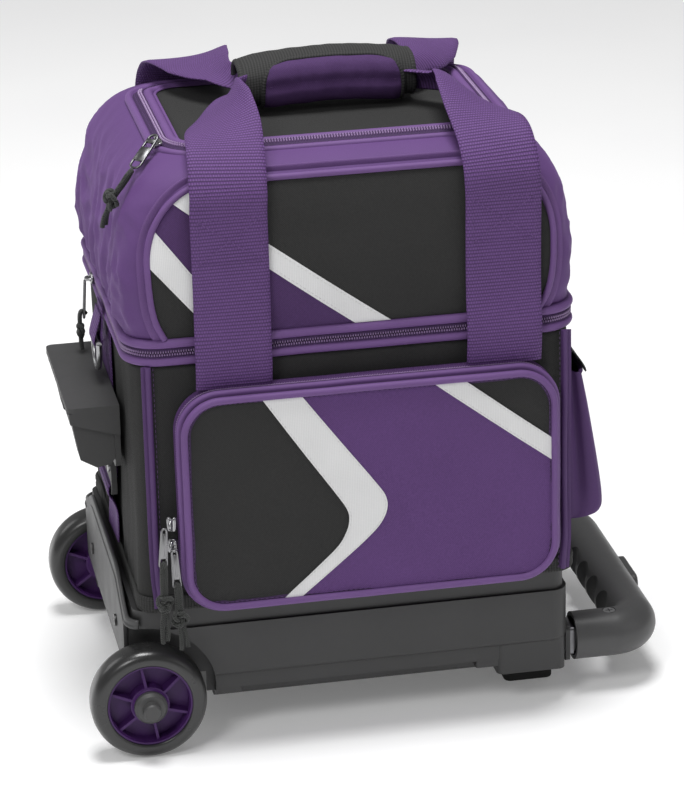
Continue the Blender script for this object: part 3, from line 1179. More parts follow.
def zip_tab(node, P0, P1, N, body, mat, w0=1.7, w1=2.9, th=1.5, window=None, rim=0.75):
    """A tab from its bridge end P0 to its free end P1, with a raised rim, and an eye for the cord."""
    P0, P1, N = (np.asarray(a, float) for a in (P0, P1, N))
    L = np.linalg.norm(P1 - P0)
    V = (P1 - P0) / L
    N = N - (N @ V) * V
    N /= np.linalg.norm(N)
    U = np.cross(V, N)
    part = Part()
    out = []
    hw = lambda t: w0 + (w1 - w0) * min(1, max(0, t)) ** 0.8
    for t in np.linspace(0.07, 0.90, 12):
        out.append((hw(t), t * L))
    for a in np.linspace(15, 165, 9):
        out.append((w1 * math.cos(math.radians(a)), 0.90 * L + w1 * 0.9 * math.sin(math.radians(a))))
    for t in np.linspace(0.90, 0.07, 12):
        out.append((-hw(t), t * L))
    for a in np.linspace(195, 345, 7):
        out.append((w0 * math.cos(math.radians(a)), 0.07 * L + w0 * math.sin(math.radians(a))))
    loop = np.array([P0 + U * u + V * v for u, v in out])
    part.tube(loop, rim, 8, closed=True, m=0, up=tuple(N))
    spans = [(0.13, 0.76)] if window is None else [(0.10, window[0]), (window[1], 0.80)]
    for a, b in spans:
        pts = [(hw(a), a * L), (hw(b), b * L), (-hw(b), b * L), (-hw(a), a * L)]
        prism(part, P0, U, V, N, pts, -th / 2 + 0.35, th / 2 - 0.35, 0, 0.15)
    if window is None:
        prism(part, P0, U, V, N, [(0.5, 0.2 * L), (0.6, 0.68 * L), (-0.6, 0.68 * L), (-0.5, 0.2 * L)], -th / 2, th / 2, 0, 0.15)
    o = weld(part.obj(node + "_tab", [mat], body))
    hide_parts(node)
    return o


zip_slider("pocket_slider_1", np.array((21.0, -7.0, 131.0)), (0, 0, 1.0), (-0.45, -0.893, 0), "pocket_slider_1", M_NICKEL, 0.95, 5.6)
zip_slider("pocket_slider_2", np.array((21.0, -7.0, 115.0)), (0, 0, -1.0), (-0.45, -0.893, 0), "pocket_slider_2", M_NICKEL, 0.95, 5.6)
zip_tab("pocket_pull_1", (14.6, -14.4, 131.0), (12.6, -15.3, 102.6), (0.1, -1.0, 0), "pocket_pull_1", M_TAB, 1.6, 2.6, 1.9)
zip_tab("pocket_pull_2", (20.6, -14.6, 115.0), (21.7, -15.2, 86.6), (0, -1.0, 0), "pocket_pull_2", M_TAB, 1.6, 2.6, 1.9)
zip_slider("mid_slider", np.array((-4.7, 165.0, 249.5)), (0, 1.0, 0), (-1.0, 0, 0), "mid_slider", M_NICKEL, 1.0, 5.8)
zip_tab("mid_pull", (-10.6, 165.0, 248.4), (-12.6, 165.0, 220.4), (-1.0, 0, -0.1), "mid_pull", M_PULL, 1.9, 3.0)
zip_slider("top_slider", np.array((31.2, 58.4, 375.6)), (0, 1.0, 0), (-0.2, 0, 0.98), "top_slider", M_NICKEL, 1.0, 5.4)
zip_tab("top_pull", (29.0, 55.2, 382.0), (12.6, 39.2, 367.2), (-0.35, -0.35, 0.87), "top_pull", M_PULL, 3.2, 4.0, 2.5, window=(0.22, 0.38), rim=0.85)


# ------------------------------------------------------------------ tyres, moulded over the hubs' rims
def tyre(node, y0, body):
    h = TW / 2
    prof = [(29.2, -11.1), (29.5, -11.9), (30.3, -12.3), (31.6, -h - 0.05), (33.2, -h - 0.1), (35.2, -h + 0.15), (37.0, -h + 1.2), (38.6, -h + 3.2), (39.6, -h + 5.6), (40.0, -h + 8.6)]
    prof = prof + [(r, -y) for r, y in prof[::-1]]
    prof = np.array(prof)
    t = np.linspace(0, 2 * math.pi, 97)[:-1]
    part = Part()
    P = np.stack([prof[None, :, 0] * np.cos(t)[:, None], np.broadcast_to(prof[None, :, 1] + y0, (len(t), len(prof))), prof[None, :, 0] * np.sin(t)[:, None]], 2)
    part.grid(P, cu=True, m=0)
    # the inside that sits on the rim
    q = np.array([(29.2, 11.1), (30.05, 11.0), (30.05, -11.0), (29.2, -11.1)])
    Q = np.stack([q[None, :, 0] * np.cos(t)[:, None], np.broadcast_to(q[None, :, 1] + y0, (len(t), len(q))), q[None, :, 0] * np.sin(t)[:, None]], 2)
    part.grid(Q, cu=True, m=0)
    o = weld(part.obj(node + "_tread", [M_TYRE], body))
    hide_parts(node)
    return o


def wheel_y(node):
    me = NODES[node].data
    ys_ = [v.co.y for v in me.vertices]
    return (min(ys_) + max(ys_)) / 2 / MM - SH[1], (max(ys_) - min(ys_)) / MM


Y0, TW = wheel_y("front_tyre")
tyre("front_tyre", Y0, "front_wheel")
Y1, _ = wheel_y("back_tyre")
tyre("back_tyre", Y1, "back_wheel")


# ------------------------------------------------------------------ kick plate, moulded round the corners of the base
def kick_plate():
    half, y_c, r_c, t_ = 106.75, 123.75, 12.15, 3.4
    ss = np.concatenate([np.linspace(0, 60, 9), np.linspace(66, 102.4, 12), [102.9, 103.3, 103.8, 104.4, 105.2], np.linspace(106.75, 121.0, 11), [121.4]])
    ss = np.concatenate([-ss[::-1], ss[1:]])
    rows = []
    for s in ss:
        a = abs(s)
        e = min(1.0, max(0.0, (a - 58.0) / 56.0))
        zt = 76.0 - 19.5 * e * e * (3 - 2 * e)
        q = min(1.0, max(0.0, (a - 102.6) / 2.2))
        zb = 13.0 + 37.0 * q * q * (3 - 2 * q)
        end = min(1.0, max(0.0, (121.4 - a) / 1.2)) ** 0.5
        hh = zt - zb
        prof = [(0.1, 0.0), (t_ - 1.2, 0.0), (t_ - 0.35, 0.35), (t_, 1.2), (t_, hh * 0.33), (t_, hh * 0.66), (t_, hh - 8.6), (t_ - 0.1, hh - 8.1), (t_ - 0.75, hh - 7.7), (t_ - 0.8, hh - 7.0),
                (t_ - 0.8, hh - 1.2), (t_ - 1.1, hh - 0.35), (t_ - 1.9, 0.0 + hh), (0.1, hh)]
        if hh < 20:
            prof = [(0.1, 0.0), (t_ - 1.2, 0.0), (t_ - 0.35, 0.35), (t_, 1.0), (t_, hh * 0.05 + 1.0), (t_, hh * 0.08 + 1.0), (t_, hh * 0.12 + 1.0), (t_ - 0.1, hh * 0.12 + 1.5), (t_ - 0.75, hh * 0.12 + 1.9), (t_ - 0.8, hh * 0.12 + 2.6),
                    (t_ - 0.8, hh - 1.2), (t_ - 1.1, hh - 0.35), (t_ - 1.9, hh), (0.1, hh)]
        row = []
        for n, dz in prof:
            n = 0.1 + (n - 0.1) * (0.55 + 0.45 * end)
            if a <= half:
                x, y = -9.05 - n, y_c + s
            else:
                ph = (a - half) / (r_c + 1.7)
                x, yy = 3.0 - (r_c + n) * math.cos(ph), 17.0 - (r_c + n) * math.sin(ph)
                y = yy if s < 0 else 2 * y_c - yy
            row.append((x, y, zb + dz))
        rows.append(row)
    G = np.array(rows)
    part = Part()
    part.grid(G, cv=True, m=0, flip=True)
    for i, fl in ((0, False), (-1, True)):
        part.fan(G[i], tuple(G[i].mean(axis=0)), 0, flip=fl)
    o = weld(part.obj("kick_plate", [M_SKID], "root"))
    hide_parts("skid_panel")
    return o


kick_plate()


# ------------------------------------------------------------------ front pocket
PC = (156.5, 144.5)
RP, AP, FP = ring_xz(129.0, 77.5, 27.6, 0.0, PC, 2.8)


def pk_off(P):
    out = np.zeros((len(P), 3))
    for i, p in enumerate(P):
        out[i] = (0.25 * noise3(p[0] * 0.03, 1.0, p[2] * 0.03), -0.35 * noise3(p[0] * 0.02, 5.0, p[2] * 0.02) , 0.25 * noise3(p[0] * 0.03, 9.0, p[2] * 0.03))
    return out


PO = pk_off(RP)
part = Part()
# (a = outwards, b = forwards); the band stands on the wall: tape, coil, tape, roll
tape_b = [(-2.2, -1.9), (1.2, -1.8), (1.9, -1.2), (1.75, 0.4), (1.55, 2.6), (1.35, 4.6), (0.9, 5.0)]
tape_f = [(0.9, 6.1), (1.3, 6.4), (1.5, 7.4), (1.25, 8.2), (0.8, 8.5)]
roll_f = [(0.8, 8.5)] + arc_pts(-0.1, 10.2, 2.2, -50, 95, 10) + [(-1.4, 12.3)]
inside = [(-1.4, 12.3), (-1.9, 12.2), (-2.4, 6), (-2.2, -1.9)]
part.grid(sweep(RP, AP, FP, tape_b) + PO[:, None], cu=True, m=0, flip=True)
part.grid(sweep(RP, AP, FP, [(0.9, 5.0), (0.1, 5.5), (0.9, 6.1)]) + PO[:, None], cu=True, m=1, flip=True)
part.grid(sweep(RP, AP, FP, tape_f) + PO[:, None], cu=True, m=1, flip=True)
part.grid(sweep(RP, AP, FP, roll_f) + PO[:, None], cu=True, m=2, flip=True)
part.grid(sweep(RP, AP, FP, inside) + PO[:, None], cu=True, m=5, flip=True)
part.teeth(RP + AP * 0.75 + FP * 5.15 + PO, AP, FP, 1.7, (0.9, 1.3, 0.8), m=3)
part.teeth(RP + AP * 0.75 + FP * 6.0 + PO, AP, FP, 1.7, (0.9, 1.3, 0.8), m=3, phase=0.5)
part.stitches(RP + AP * 1.75 + FP * 0.2 + PO, AP, 3.3, 2.2, 0.2, 4, closed=True)
part.stitches(RP + AP * 0.95 + FP * 8.45 + PO, AP, 3.3, 2.2, 0.18, 4, closed=True)
o = part.obj("pocket_zip_band", [M_HERR, M_TAPE_D, M_PIPE, M_TEETH, M_THREAD, M_LINING], "root")
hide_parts("pocket_gusset")


def pf(x, z, o):
    """A point on the pocket's front, o mm in front of the cloth: crowned, slack in places, tight at its edge."""
    u, v = (x - PC[0]) / 128.3, (z - PC[1]) / 76.8
    e = max(0.0, 1 - max(abs(u) ** 3.2, abs(v) ** 2.6))
    d = 2.4 * e ** 0.8
    d += (0.9 * noise3(x * 0.016, 2.2, z * 0.02) + 0.45 * noise3(x * 0.04, 6.0, z * 0.045)) * min(1, 4 * e)
    # the piping pulls the cloth into short puckers at its lower corners
    for cx_ in (45.0, 268.0):
        q = math.hypot(x - cx_, z - 84.0)
        d += 0.5 * math.exp(-(q / 20.0) ** 2) * math.sin(q * 0.55 + x * 0.08)
    return (x, -(14.6 + d + o), z)


CLIP_P = rr_clip(PC[0], PC[1], 125.8, 74.3, 25.2)
part = Part()
X, Z = gridxz(24, 289, 64, 226, 2.4)
flat_patch(part, X, Z, CLIP_P, pf, 0.0, None, m=0)
# purple field: from the chevron to the second stripe
chev_r = smooth_path([(78, 260.9), (112.1, 214.2), (136.3, 181.1), (158.5, 151.0), (165.0, 140.5), (165.6, 131.0), (161.0, 121.0), (152.0, 111.3), (134.1, 95.4), (110.9, 75.8), (86, 54.7)], 6)
chev_l = smooth_path([(54, 261.5), (83.9, 216.3), (111.0, 175.2), (132.0, 144.0), (138.6, 132.6), (139.6, 125.0), (137.6, 117.0), (131.5, 106.6), (117.0, 92.5), (98.5, 75.7), (74, 53.6)], 6)
strp_lo = [(130, 269.0), (199.6, 217.2), (280.4, 155.6), (330, 118.0)]
# the field as a fan of strips from the chevron's edge to a far line right and below
right_far = [(78, 262.0), (199.6, 217.2), (240, 186.3), (280.4, 155.6), (300, 141.0), (300, 110.0), (300, 70.0), (300, 50.0), (200, 50.0), (86, 50.0)]
X, Z = between(chev_r, right_far, 100, 40)
flat_patch(part, X, Z, CLIP_P, pf, 0.6, 0.1, m=1)
X, Z = between(chev_l, chev_r, 110, 12)
flat_patch(part, X, Z, CLIP_P, pf, 1.15, 0.2, m=2)
X, Z = between([(150, 253.9), (199.6, 217.2), (280.4, 154.6), (330, 116.2)], [(170, 257.4), (220.1, 218.0), (281.8, 169.6), (335, 127.8)], 70, 8)
flat_patch(part, X, Z, CLIP_P, pf, 1.15, 0.2, m=2)
CLIP_NOW = CLIP_P
inset_r = [(x - 1.4, z) for x, z in chev_r]
inset_l = [(x + 1.4, z) for x, z in chev_l]
for line in (inset_r, inset_l, [(199.6, 218.6), (280.4, 156.2)], [(220.1, 216.6), (281.8, 168.2)]):
    stitch_on(part, line, pf, 1.25, 3)
# turned-in back of the panel, so that it has a thickness when it hangs open
X, Z = gridxz(24, 289, 64, 226, 8.0)
flat_patch(part, X, Z, CLIP_P, lambda x, z, o: (x, -(12.9 + o), z), 0.0, None, m=4, flip=True)
pp = part.obj("pocket_front", [M_BLACK, M_PURPLE, M_WHITE, M_THREAD_W, M_LINING], "pocket_panel")
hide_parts("pocket_panel")

part = Part()
RQ, AQ, FQ = ring_xz(128.2, 76.7, 27.0, 0.0, PC, 2.8)
roll = arc_pts(-2.2, 16.5, 2.4, 200, -40, 14) + [(-0.5, 14.0)]
part.grid(sweep(RQ, AQ, FQ, [(-6.6, 15.1), (-5.2, 15.7), (-4.45, 15.7)]) + pk_off(RQ)[:, None], cu=True, m=2, flip=True)
under = [(-0.5, 14.0), (-0.3, 13.2), (-0.9, 12.8), (-2.6, 12.8)]
part.grid(sweep(RQ, AQ, FQ, roll) + pk_off(RQ)[:, None], cu=True, m=0, flip=True)
part.grid(sweep(RQ, AQ, FQ, under) + pk_off(RQ)[:, None], cu=True, m=2, flip=True)
part.stitches(RQ + AQ * (-5.4) + FQ * 15.65 + pk_off(RQ), FQ, 3.4, 2.3, 0.2, 1, closed=True)
o = part.obj("pocket_edge_piping", [M_PIPE, M_THREAD, M_TAPE_D], "pocket_panel")
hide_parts("pocket_piping")


# ------------------------------------------------------------------ side pocket on the right, with its flap
part = Part()
prof = chaikin([(300.6, 91.2), (306, 89.8), (321, 91.0), (328.2, 95.0), (328.8, 105.0), (325.0, 132.0), (319.6, 165.0), (313.2, 199.0), (312.6, 200.4)], 2)
ys = np.concatenate([[24.4, 25.2, 27.0, 30.0], np.linspace(36, 211, 34), [217.0, 220.4, 222.2, 223.0]])
rows = []
for y in ys:
    e = min(y - 24.0, 223.5 - y)
    ex = 4.2 * math.exp(-(e / 3.2))
    row = []
    for x, z in prof:
        t = (z - 91) / 109
        depth = x - 300.6
        b = 1.2 * math.sin(math.pi * (y - 24) / 199.5) * math.sin(math.pi * min(1, max(0, t)))
        w = 0.7 * noise3(y * 0.03, z * 0.018, 2.0) + 0.5 * noise3(y * 0.07, z * 0.03, 5.0)
        x2 = 300.6 + depth * (1 - ex / 22.0) + (b + w) * min(1, e / 16.0) * min(1, depth / 8)
        z2 = z + (ex * 0.5 if t < 0.1 else 0)
        row.append((min(x2, 330.2), y, z2))
    rows.append(row)
G = np.array(rows)
part.grid(G, m=0, flip=False)
Gi = G.copy()
Gi[:, :, 0] -= 1.2
Gi[:, :, 2] += 0.6
Gi[0, :, 1] += 1.0
Gi[-1, :, 1] -= 1.0
part.grid(Gi, m=1, flip=True)
part.grid(np.stack([G[:, -1], Gi[:, -1]], 1), m=0, flip=False)
# gusseted ends: cloth with one inward crease from top to bottom
for yi, s, fl in ((0, 1, False), (-1, -1, True)):
    edge = G[yi]
    nn_ = 9
    rows = []
    for k2 in range(nn_):
        t = k2 / (nn_ - 1)
        row = []
        for q in edge:
            x = 300.7 + (q[0] - 300.7) * t
            crease = 4.8 * math.exp(-((t - 0.45) / 0.16) ** 2) * min(1, (q[2] - 90) / 25.0) * min(1.0, (q[0] - 300.6) / 10)
            soft = 0.7 * noise3(x * 0.08, q[2] * 0.03, 3.0 + yi)
            wid = math.sin(math.pi * t)
            row.append((x, q[1] + s * (crease + soft * wid - 0.4 * wid), q[2]))
        rows.append(row)
    part.grid(np.array(rows), m=0, flip=fl)
# bound top edge and piping along the outer corners
top = G[:, -1] + np.array((0.1, 0, 0.2))
part.tube(top, 1.5, 8, m=2)
part.stitches(G[2:-2, -4] + np.array((0.35, 0, 0)), np.tile((1.0, 0, 0.2), (len(ys) - 4, 1)), 3.3, 2.2, 0.22, 3)
o = weld(part.obj("side_pocket_bag", [M_SIDE, M_LINING, M_PIPE_D, M_THREAD], "root"))
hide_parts("side_pocket")

part = Part()
cl = smooth_path([(301.9, 219.3), (303.6, 218.6), (307.2, 214.6), (311.6, 208.6), (314.6, 203.4), (315.3, 200.6)], 5)
ys = np.linspace(24.6, 223.0, 52)
rows = []
for y in ys:
    e = min(y - 24.0, 223.5 - y)
    row = []
    for j, (x, z) in enumerate(cl):
        t = j / (len(cl) - 1)
        w = 0.8 * noise3(y * 0.045, 3.0, t * 1.2) * t + 0.7 * math.sin(math.pi * t) * (noise3(y * 0.02, 8.0, 1.0) - 0.3)
        row.append((x + w * 0.75, y, z + w * 0.6 + (0.8 if e < 3 else 0) * t * 0))
    rows.append(row)
G = np.array(rows)
part.grid(G, m=0, flip=False)
G2 = G - np.array((0.75, 0, 0.6))
part.grid(G2, m=1, flip=True)
part.grid(np.stack([G[:, -1], G2[:, -1]], 1), m=0, flip=False)
part.grid(np.stack([G[:, 0], G2[:, 0]], 1), m=0, flip=True)
part.grid(np.stack([G[0], G2[0]], 1), m=0, flip=True)
part.grid(np.stack([G[-1], G2[-1]], 1), m=0, flip=False)
part.stitches(G[1:-1, -4] + np.array((0.15, 0, 0.15)), np.tile((0.8, 0, 0.6), (len(ys) - 2, 1)), 3.3, 2.2, 0.22, 2)
flap = weld(part.obj("side_pocket_cover", [M_BLACK, M_LINING, M_THREAD_B], "side_flap"))
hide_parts("side_pocket_flap")


# ------------------------------------------------------------------ webbing on the left side
part = Part()
C = resample(smooth_path([(-1.75, 123.75, 237.5), (-2.1, 123.75, 225), (-2.2, 123.75, 196), (-2.25, 123.75, 160), (-2.2, 123.75, 128)], 6), 3.0)
ribbon(part, C, np.tile((0, 1.0, 0), (len(C), 1)), 50.8, 1.5, m=0, nw=9)
# out through the slot, over the bar and back behind it, then down to the base
C = resample(smooth_path([(-2.2, 123.75, 126), (-4.6, 123.75, 120.6), (-7.9, 123.75, 118.8), (-8.9, 123.75, 115.4), (-8.4, 123.75, 111.0), (-5.6, 123.4, 106.0), (-3.0, 122.9, 98), (-2.5, 122.0, 88), (-3.6, 121.0, 74.8)], 8), 2.0)
k = len(C)
wd = np.tile((0, 1.0, 0), (k, 1))
wid = np.interp(np.linspace(0, 1, k), [0, 0.35, 0.6, 1.0], [50.8, 50.8, 48.5, 50.8])
ribbon(part, C, wd, wid, 1.7, m=0, nw=11, curl=np.interp(np.linspace(0, 1, k), [0, 0.5, 0.8, 1], [0, 0, -1.1, -0.4]))
# box of stitches at the top, sewn through to the wall
for z0, z1 in ((231, 207),):
    for a, b in (((101.5, z0), (146, z0)), ((101.5, z1), (146, z1)), ((101.5, z0), (101.5, z1)), ((146, z0), (146, z1)), ((101.5, z0), (146, z1)), ((146, z0), (101.5, z1))):
        pts = [(-3.1, a[0] + (b[0] - a[0]) * t, a[1] + (b[1] - a[1]) * t) for t in np.linspace(0, 1, 8)]
        part.stitches(pts, np.tile((-1.0, 0, 0), (8, 1)), 3.4, 2.4, 0.26, 1)
o = part.obj("side_web_strap", [M_WEB_D, M_THREAD], "root")
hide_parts("side_webbing")

# the loop that holds the D-ring
part = Part()
cy_, cz_ = -10.6, 224.5
pts = [(-6.6, 249.4), (-6.9, 243), (-7.3, 236), (-8.0, 229.4)]
pts += [(cy_ + 2.9 * math.cos(math.radians(a)), cz_ + 2.9 * math.sin(math.radians(a))) for a in (10, -20, -60, -100, -140, -180)]
pts += [(-12.6, 229.0), (-10.6, 236.0), (-8.9, 241.5), (-8.3, 245.0)]
C = resample(smooth_path([(x, 112.0, z) for x, z in pts], 6), 1.2)
ribbon(part, C, np.tile((0, 1.0, 0), (len(C), 1)), 25.4, 1.25, m=0, nw=7)
for zz in (243.0, 239.0):
    pts = [(-9.2 - (0.6 if zz < 240 else 0.0), y, zz) for y in np.linspace(101, 123, 8)]
    part.stitches(pts, np.tile((-1.0, 0, 0), (8, 1)), 3.0, 2.1, 0.25, 1)
o = part.obj("ring_web_loop", [M_WEB, M_THREAD], "root")
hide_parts("ring_loop")


# ------------------------------------------------------------------ carry straps
def strap_mesh(side_, back):
    """One strap: the sewn run, then the loose run over the shoulder, turning into the handle."""
    xc = (67.0, 250.5)[side_]
    s = (1, -1)[side_]                       # towards the middle
    x_in = (98.0, 214.0)[side_]
    my = (lambda y: 247.5 - y) if back else (lambda y: y)
    zlow = 261.0 if back else 223.5
    sewn = [(0.0, -4.1, zlow)]
    if not back:
        sewn += [(0, -5.9, 231), (0, -7.2, 240), (0, -7.7, 249), (0, -7.2, 258), (0.2, -6.2, 268)]
    else:
        sewn = [(0.0, -6.2, zlow)]
    sewn += [(0.3, -6.1, 290), (0.2, -6.3, 315), (0, -6.4, 332), (0, -6.7, 345)]
    pts = [(xc + a * s, my(b), c) for a, b, c in sewn]
    free = ((0.5, -6.8, 355), (0.8, -3.6, 364.5), (1.6, 3.2, 374.5), (2.6, 14.0, 382.6), (4.4, 32.0, 388.6), (7.2, 54.0, 392.0),
            (11.0, 75.0, 394.2), (16.0, 93.0, 394.8))
    if back:
        free = ((0.4, -6.4, 355), (0.9, -3.2, 364.6), (1.8, 4.0, 374.8), (3.4, 16.0, 383.4), (6.2, 34.0, 389.6), (9.6, 54.0, 393.4),
                (13.4, 75.0, 395.2), (17.5, 92.0, 395.0))
    pts += [(xc + a * s, my(b), c) for a, b, c in free]
    pts += [(x_in - s * 6.5, my(106.5), 394.2), (x_in + s * 3, my(114.5), 393.6), (x_in + s * 14, my(117.5), 393.8)]
    C = resample(smooth_path(pts, 10), 2.6)
    k = len(C)
    L = np.concatenate([[0], np.cumsum(np.linalg.norm(np.diff(C, axis=0), axis=1))])
    # the width lies along X on the bag, and turns on edge as the strap gathers into the handle
    Wd = np.zeros((k, 3))
    wid = np.zeros(k)
    zmid = np.array([p[2] for p in C])
    yy = np.array([(247.5 - p[1]) if back else p[1] for p in C])
    t = np.clip((yy - 8.0) / 92.0, 0, 1)
    t = np.where(zmid < 360, 0, t)
    tt = t * t * (3 - 2 * t)
    for i in range(k):
        ang = tt[i] * math.radians(30 if back else 58)
        Wd[i] = (s * math.cos(ang), -math.sin(ang) * 0.55 * (-1 if back else 1) * 1.0, math.sin(ang) * 0.85)
        Wd[i] *= s
    wid = np.interp(t, [0, 0.3, 0.62, 0.84, 1.0], [50.8, 50.8, 46.0, 35.0, 22.0] if back else [50.8, 50.8, 48.0, 37.0, 22.0])
    curl = np.interp(t, [0, 0.15, 0.5, 0.85, 1], [0.0, -0.6, -3.0, -4.5, -4.5]) * s * (-1 if back else 1)
    curl = np.where(zmid < 350, 0.25 * np.sin(L * 0.05), curl)
    return C, Wd, wid, curl


for side_, tag in ((0, "left"), (1, "right")):
    for back in (False, True):
        C, Wd, wid, curl = strap_mesh(side_, back)
        part = Part()
        ribbon(part, C, Wd, wid, 2.5, m=0, nw=15, curl=curl)
        # tack stitches across the strap where the loose run starts
        xc = (67.0, 250.5)[side_]
        sg = -1 if not back else 1
        yb = -8.2 if not back else 247.5 + 8.2
        zt = 341.0
        for a, b in (((-21, zt), (21, zt)), ((-21, zt - 30), (21, zt - 30)), ((-21, zt), (-21, zt - 30)), ((21, zt), (21, zt - 30)), ((-21, zt), (21, zt - 30)), ((21, zt), (-21, zt - 30))):
            n_ = 10
            p = np.array([(xc + a[0] + (b[0] - a[0]) * q, 0, a[1] + (b[1] - a[1]) * q) for q in np.linspace(0, 1, n_)])
            ycl = np.interp(p[:, 2], C[:len(C) // 2, 2], C[:len(C) // 2, 1])
            p[:, 1] = ycl + sg * 1.45
            part.stitches(p, np.tile((0, float(sg), 0), (n_, 1)), 3.3, 2.4, 0.26, 1)
        end = "back" if back else "front"
        o = part.obj(f"carry_strap_{end}_{tag}", [M_WEB, M_THREAD])
        if back:
            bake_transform(o)
            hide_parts("back_strap_ends", "back_strap")
        else:
            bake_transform(o)
            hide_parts("front_strap_ends", "front_strap")


# ------------------------------------------------------------------ padded handle wrap
def wrap_sec(x):
    """Half depth, half height and centre of the sleeve's section at x."""
    t = (x - 97.0) / 118.0
    e = min(t, 1 - t)
    puff = min(1.0, (e * 118 + 1.5) / 13.0) ** 0.5
    b = 16.4 * (0.84 + 0.16 * puff)
    a = 20.5 * (0.88 + 0.12 * puff)
    zc = 394.6 + 4.2 * math.sin(math.pi * t)
    return a, b, zc


def sup(a, b, th, n=2.5):
    c, s = math.cos(th), math.sin(th)
    return a * math.copysign(abs(c) ** (2 / n), c), b * math.copysign(abs(s) ** (2 / n), s)


def wrap_pt(x, th, o=0.0, yc=124.5):
    """th: 0 at the back, 90 on top, 180 at the front, 270 below."""
    a, b, zc = wrap_sec(x)
    y, z = sup(a + o, b + o, th)
    # the front flap hangs a little lower and fuller
    if y < 0:
        z -= 1.2 * (-y / a)
    return (x, yc + y, zc + z)


part = Part()
xs = np.linspace(97.0, 215.0, 60)
ths = np.linspace(0, 2 * math.pi, 57)[:-1]
P = np.array([[wrap_pt(x, th, 0.5 * noise3(x * 0.05, math.cos(th) * 1.5, math.sin(th) * 1.5) + 0.35 * noise3(x * 0.13, 4 + math.cos(th) * 3, math.sin(th) * 3)) for th in ths] for x in xs])
part.grid(P, cv=True, m=0, flip=False)
Pi = np.array([[wrap_pt(x, th, -4.2) for th in ths] for x in xs])
part.grid(Pi, cv=True, m=1, flip=True)
# rolled ends
for x0, sgn in ((97.0, -1), (215.0, 1)):
    ring = np.array([wrap_pt(x0, th, -1.7) for th in ths])
    part.tube(ring, 2.35, 10, closed=True, m=0)
wrap = weld(part.obj("handle_sleeve", [M_BLACK_RIB, M_LINING], "front_straps"))
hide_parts("handle_wrap")

# purple panel on its front, with rounded upper corners, bound in ribbed tape
part = Part()
x0, x1, a0, a1 = 110.5, 207.0, 238.0, 126.0
per_deg = 0.325   # about mm per degree round the sleeve


def wp(x, s_, o):
    """s_ runs up the front from the lower edge, in mm of cloth."""
    th = math.radians(a0 - s_ / per_deg)
    p = wrap_pt(x, th, o + 0.35 * noise3(x * 0.06, s_ * 0.06, 2.0))
    return p


H_ = (a0 - a1) * per_deg
clipw = [((x1, 0), (1, 0)), ((x0, 0), (-1, 0)), ((0, H_), (0, 1)), ((0, 0), (0, -1))]
for sx in (1, -1):
    for i in range(1, 10):
        a = math.pi / 2 * i / 10
        r_ = 20.0
        cx_ = x1 - r_ if sx > 0 else x0 + r_
        clipw.append(((cx_ + sx * r_ * math.cos(a), H_ - r_ + r_ * math.sin(a)), (sx * math.cos(a), math.sin(a))))
X, Z = gridxz(x0 - 2, x1 + 2, -2, H_ + 2, 2.6)


def wfn(x, z, o):
    e = min(x - x0, x1 - x, H_ - z, z + 4)
    pad = 2.5 * min(1.0, max(0.0, e) / 7.0) ** 0.6
    pk = 0.32 * math.sin(x * 0.46 + 2.6 * noise3(x * 0.05, 2.0, 7.0)) * math.exp(-((z - H_ * 0.52) / 6.5) ** 2)
    groove = 1.55 * math.exp(-((z - H_ * 0.52) / 1.8) ** 2) - 0.5 * noise3(x * 0.09, z * 0.12, 3.0) - pk
    return wp(x, z, 0.8 + o + max(pad - groove, 0.5 if e > 0.4 else 0.0))


X, Z = gridxz(x0 - 2, x1 + 2, -2, H_ + 2, 1.7)
flat_patch(part, X, Z, clipw, wfn, 0.0, -1.0, m=0)
line = [wfn(x, H_ * 0.52, 0.15) for x in np.linspace(x0 + 4, x1 - 4, 30)]
part.stitches(line, np.tile((0, -1.0, 0.2), (30, 1)), 3.0, 2.0, 0.24, 1)
edge = [(x0, 0.0)] + [(x0, z) for z in np.linspace(3, H_ - 20, 8)] + [(x0 + 20 - 20 * math.cos(a), H_ - 20 + 20 * math.sin(a)) for a in np.linspace(0.1, 1.5, 10)]
edge += [(x, H_) for x in np.linspace(x0 + 21, x1 - 21, 24)] + [(x1 - 20 + 20 * math.sin(a), H_ - 20 + 20 * math.cos(a)) for a in np.linspace(0.07, 1.5, 10)] + [(x1, z) for z in np.linspace(H_ - 20, 0, 9)]
ec = [wp(x, z, 1.2) for x, z in edge]
part.tube(np.array(ec), 1.5, 8, m=2)
o = part.obj("handle_sleeve_panel", [M_PURPLE_UP, M_THREAD, M_BLACK_RIB], "front_straps")


# ------------------------------------------------------------------ inside: divider and foam seat
part = Part()
rings = []
for k2, s in enumerate(np.linspace(1.0, 0.05, 12)):
    p, _ = rrect(146.2 * s, 116.2 * s, max(17 * s, 0.8), n=(30, 24, 8))
    rings.append(np.array([(x + CX, y + CY, 263.7 + 0.35 * noise3(x * 0.02, y * 0.02, 1.0) - (0.9 if k2 == 0 else 0.0)) for x, y in p]))
R3 = np.array(rings).transpose(1, 0, 2)
part.grid(R3, cu=True, m=0)
part.fan(R3[:, -1], (CX, CY, 263.7), 0)
L3 = R3.copy()
L3[:, :, 2] = 260.2
part.grid(L3, cu=True, m=0, flip=True)
part.fan(L3[:, -1], (CX, CY, 260.2), 0, flip=True)
part.grid(np.stack([L3[:, 0], R3[:, 0]], 1), cu=True, m=0)
part.uv = [[(part.v[i][0] * MM, part.v[i][1] * MM) for i in f] for f in part.f]
p, nn = rrect(145.4, 115.4, 16.4, n=(30, 24, 8))
part.tube(np.column_stack([p[:, 0] + CX, p[:, 1] + CY, np.full(len(p), 262.3)]), 1.7, 8, closed=True, m=1)
o = part.obj("divider_panel", [M_LINING, M_BLACK_RIB], "upper_compartment")
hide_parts("divider_floor")

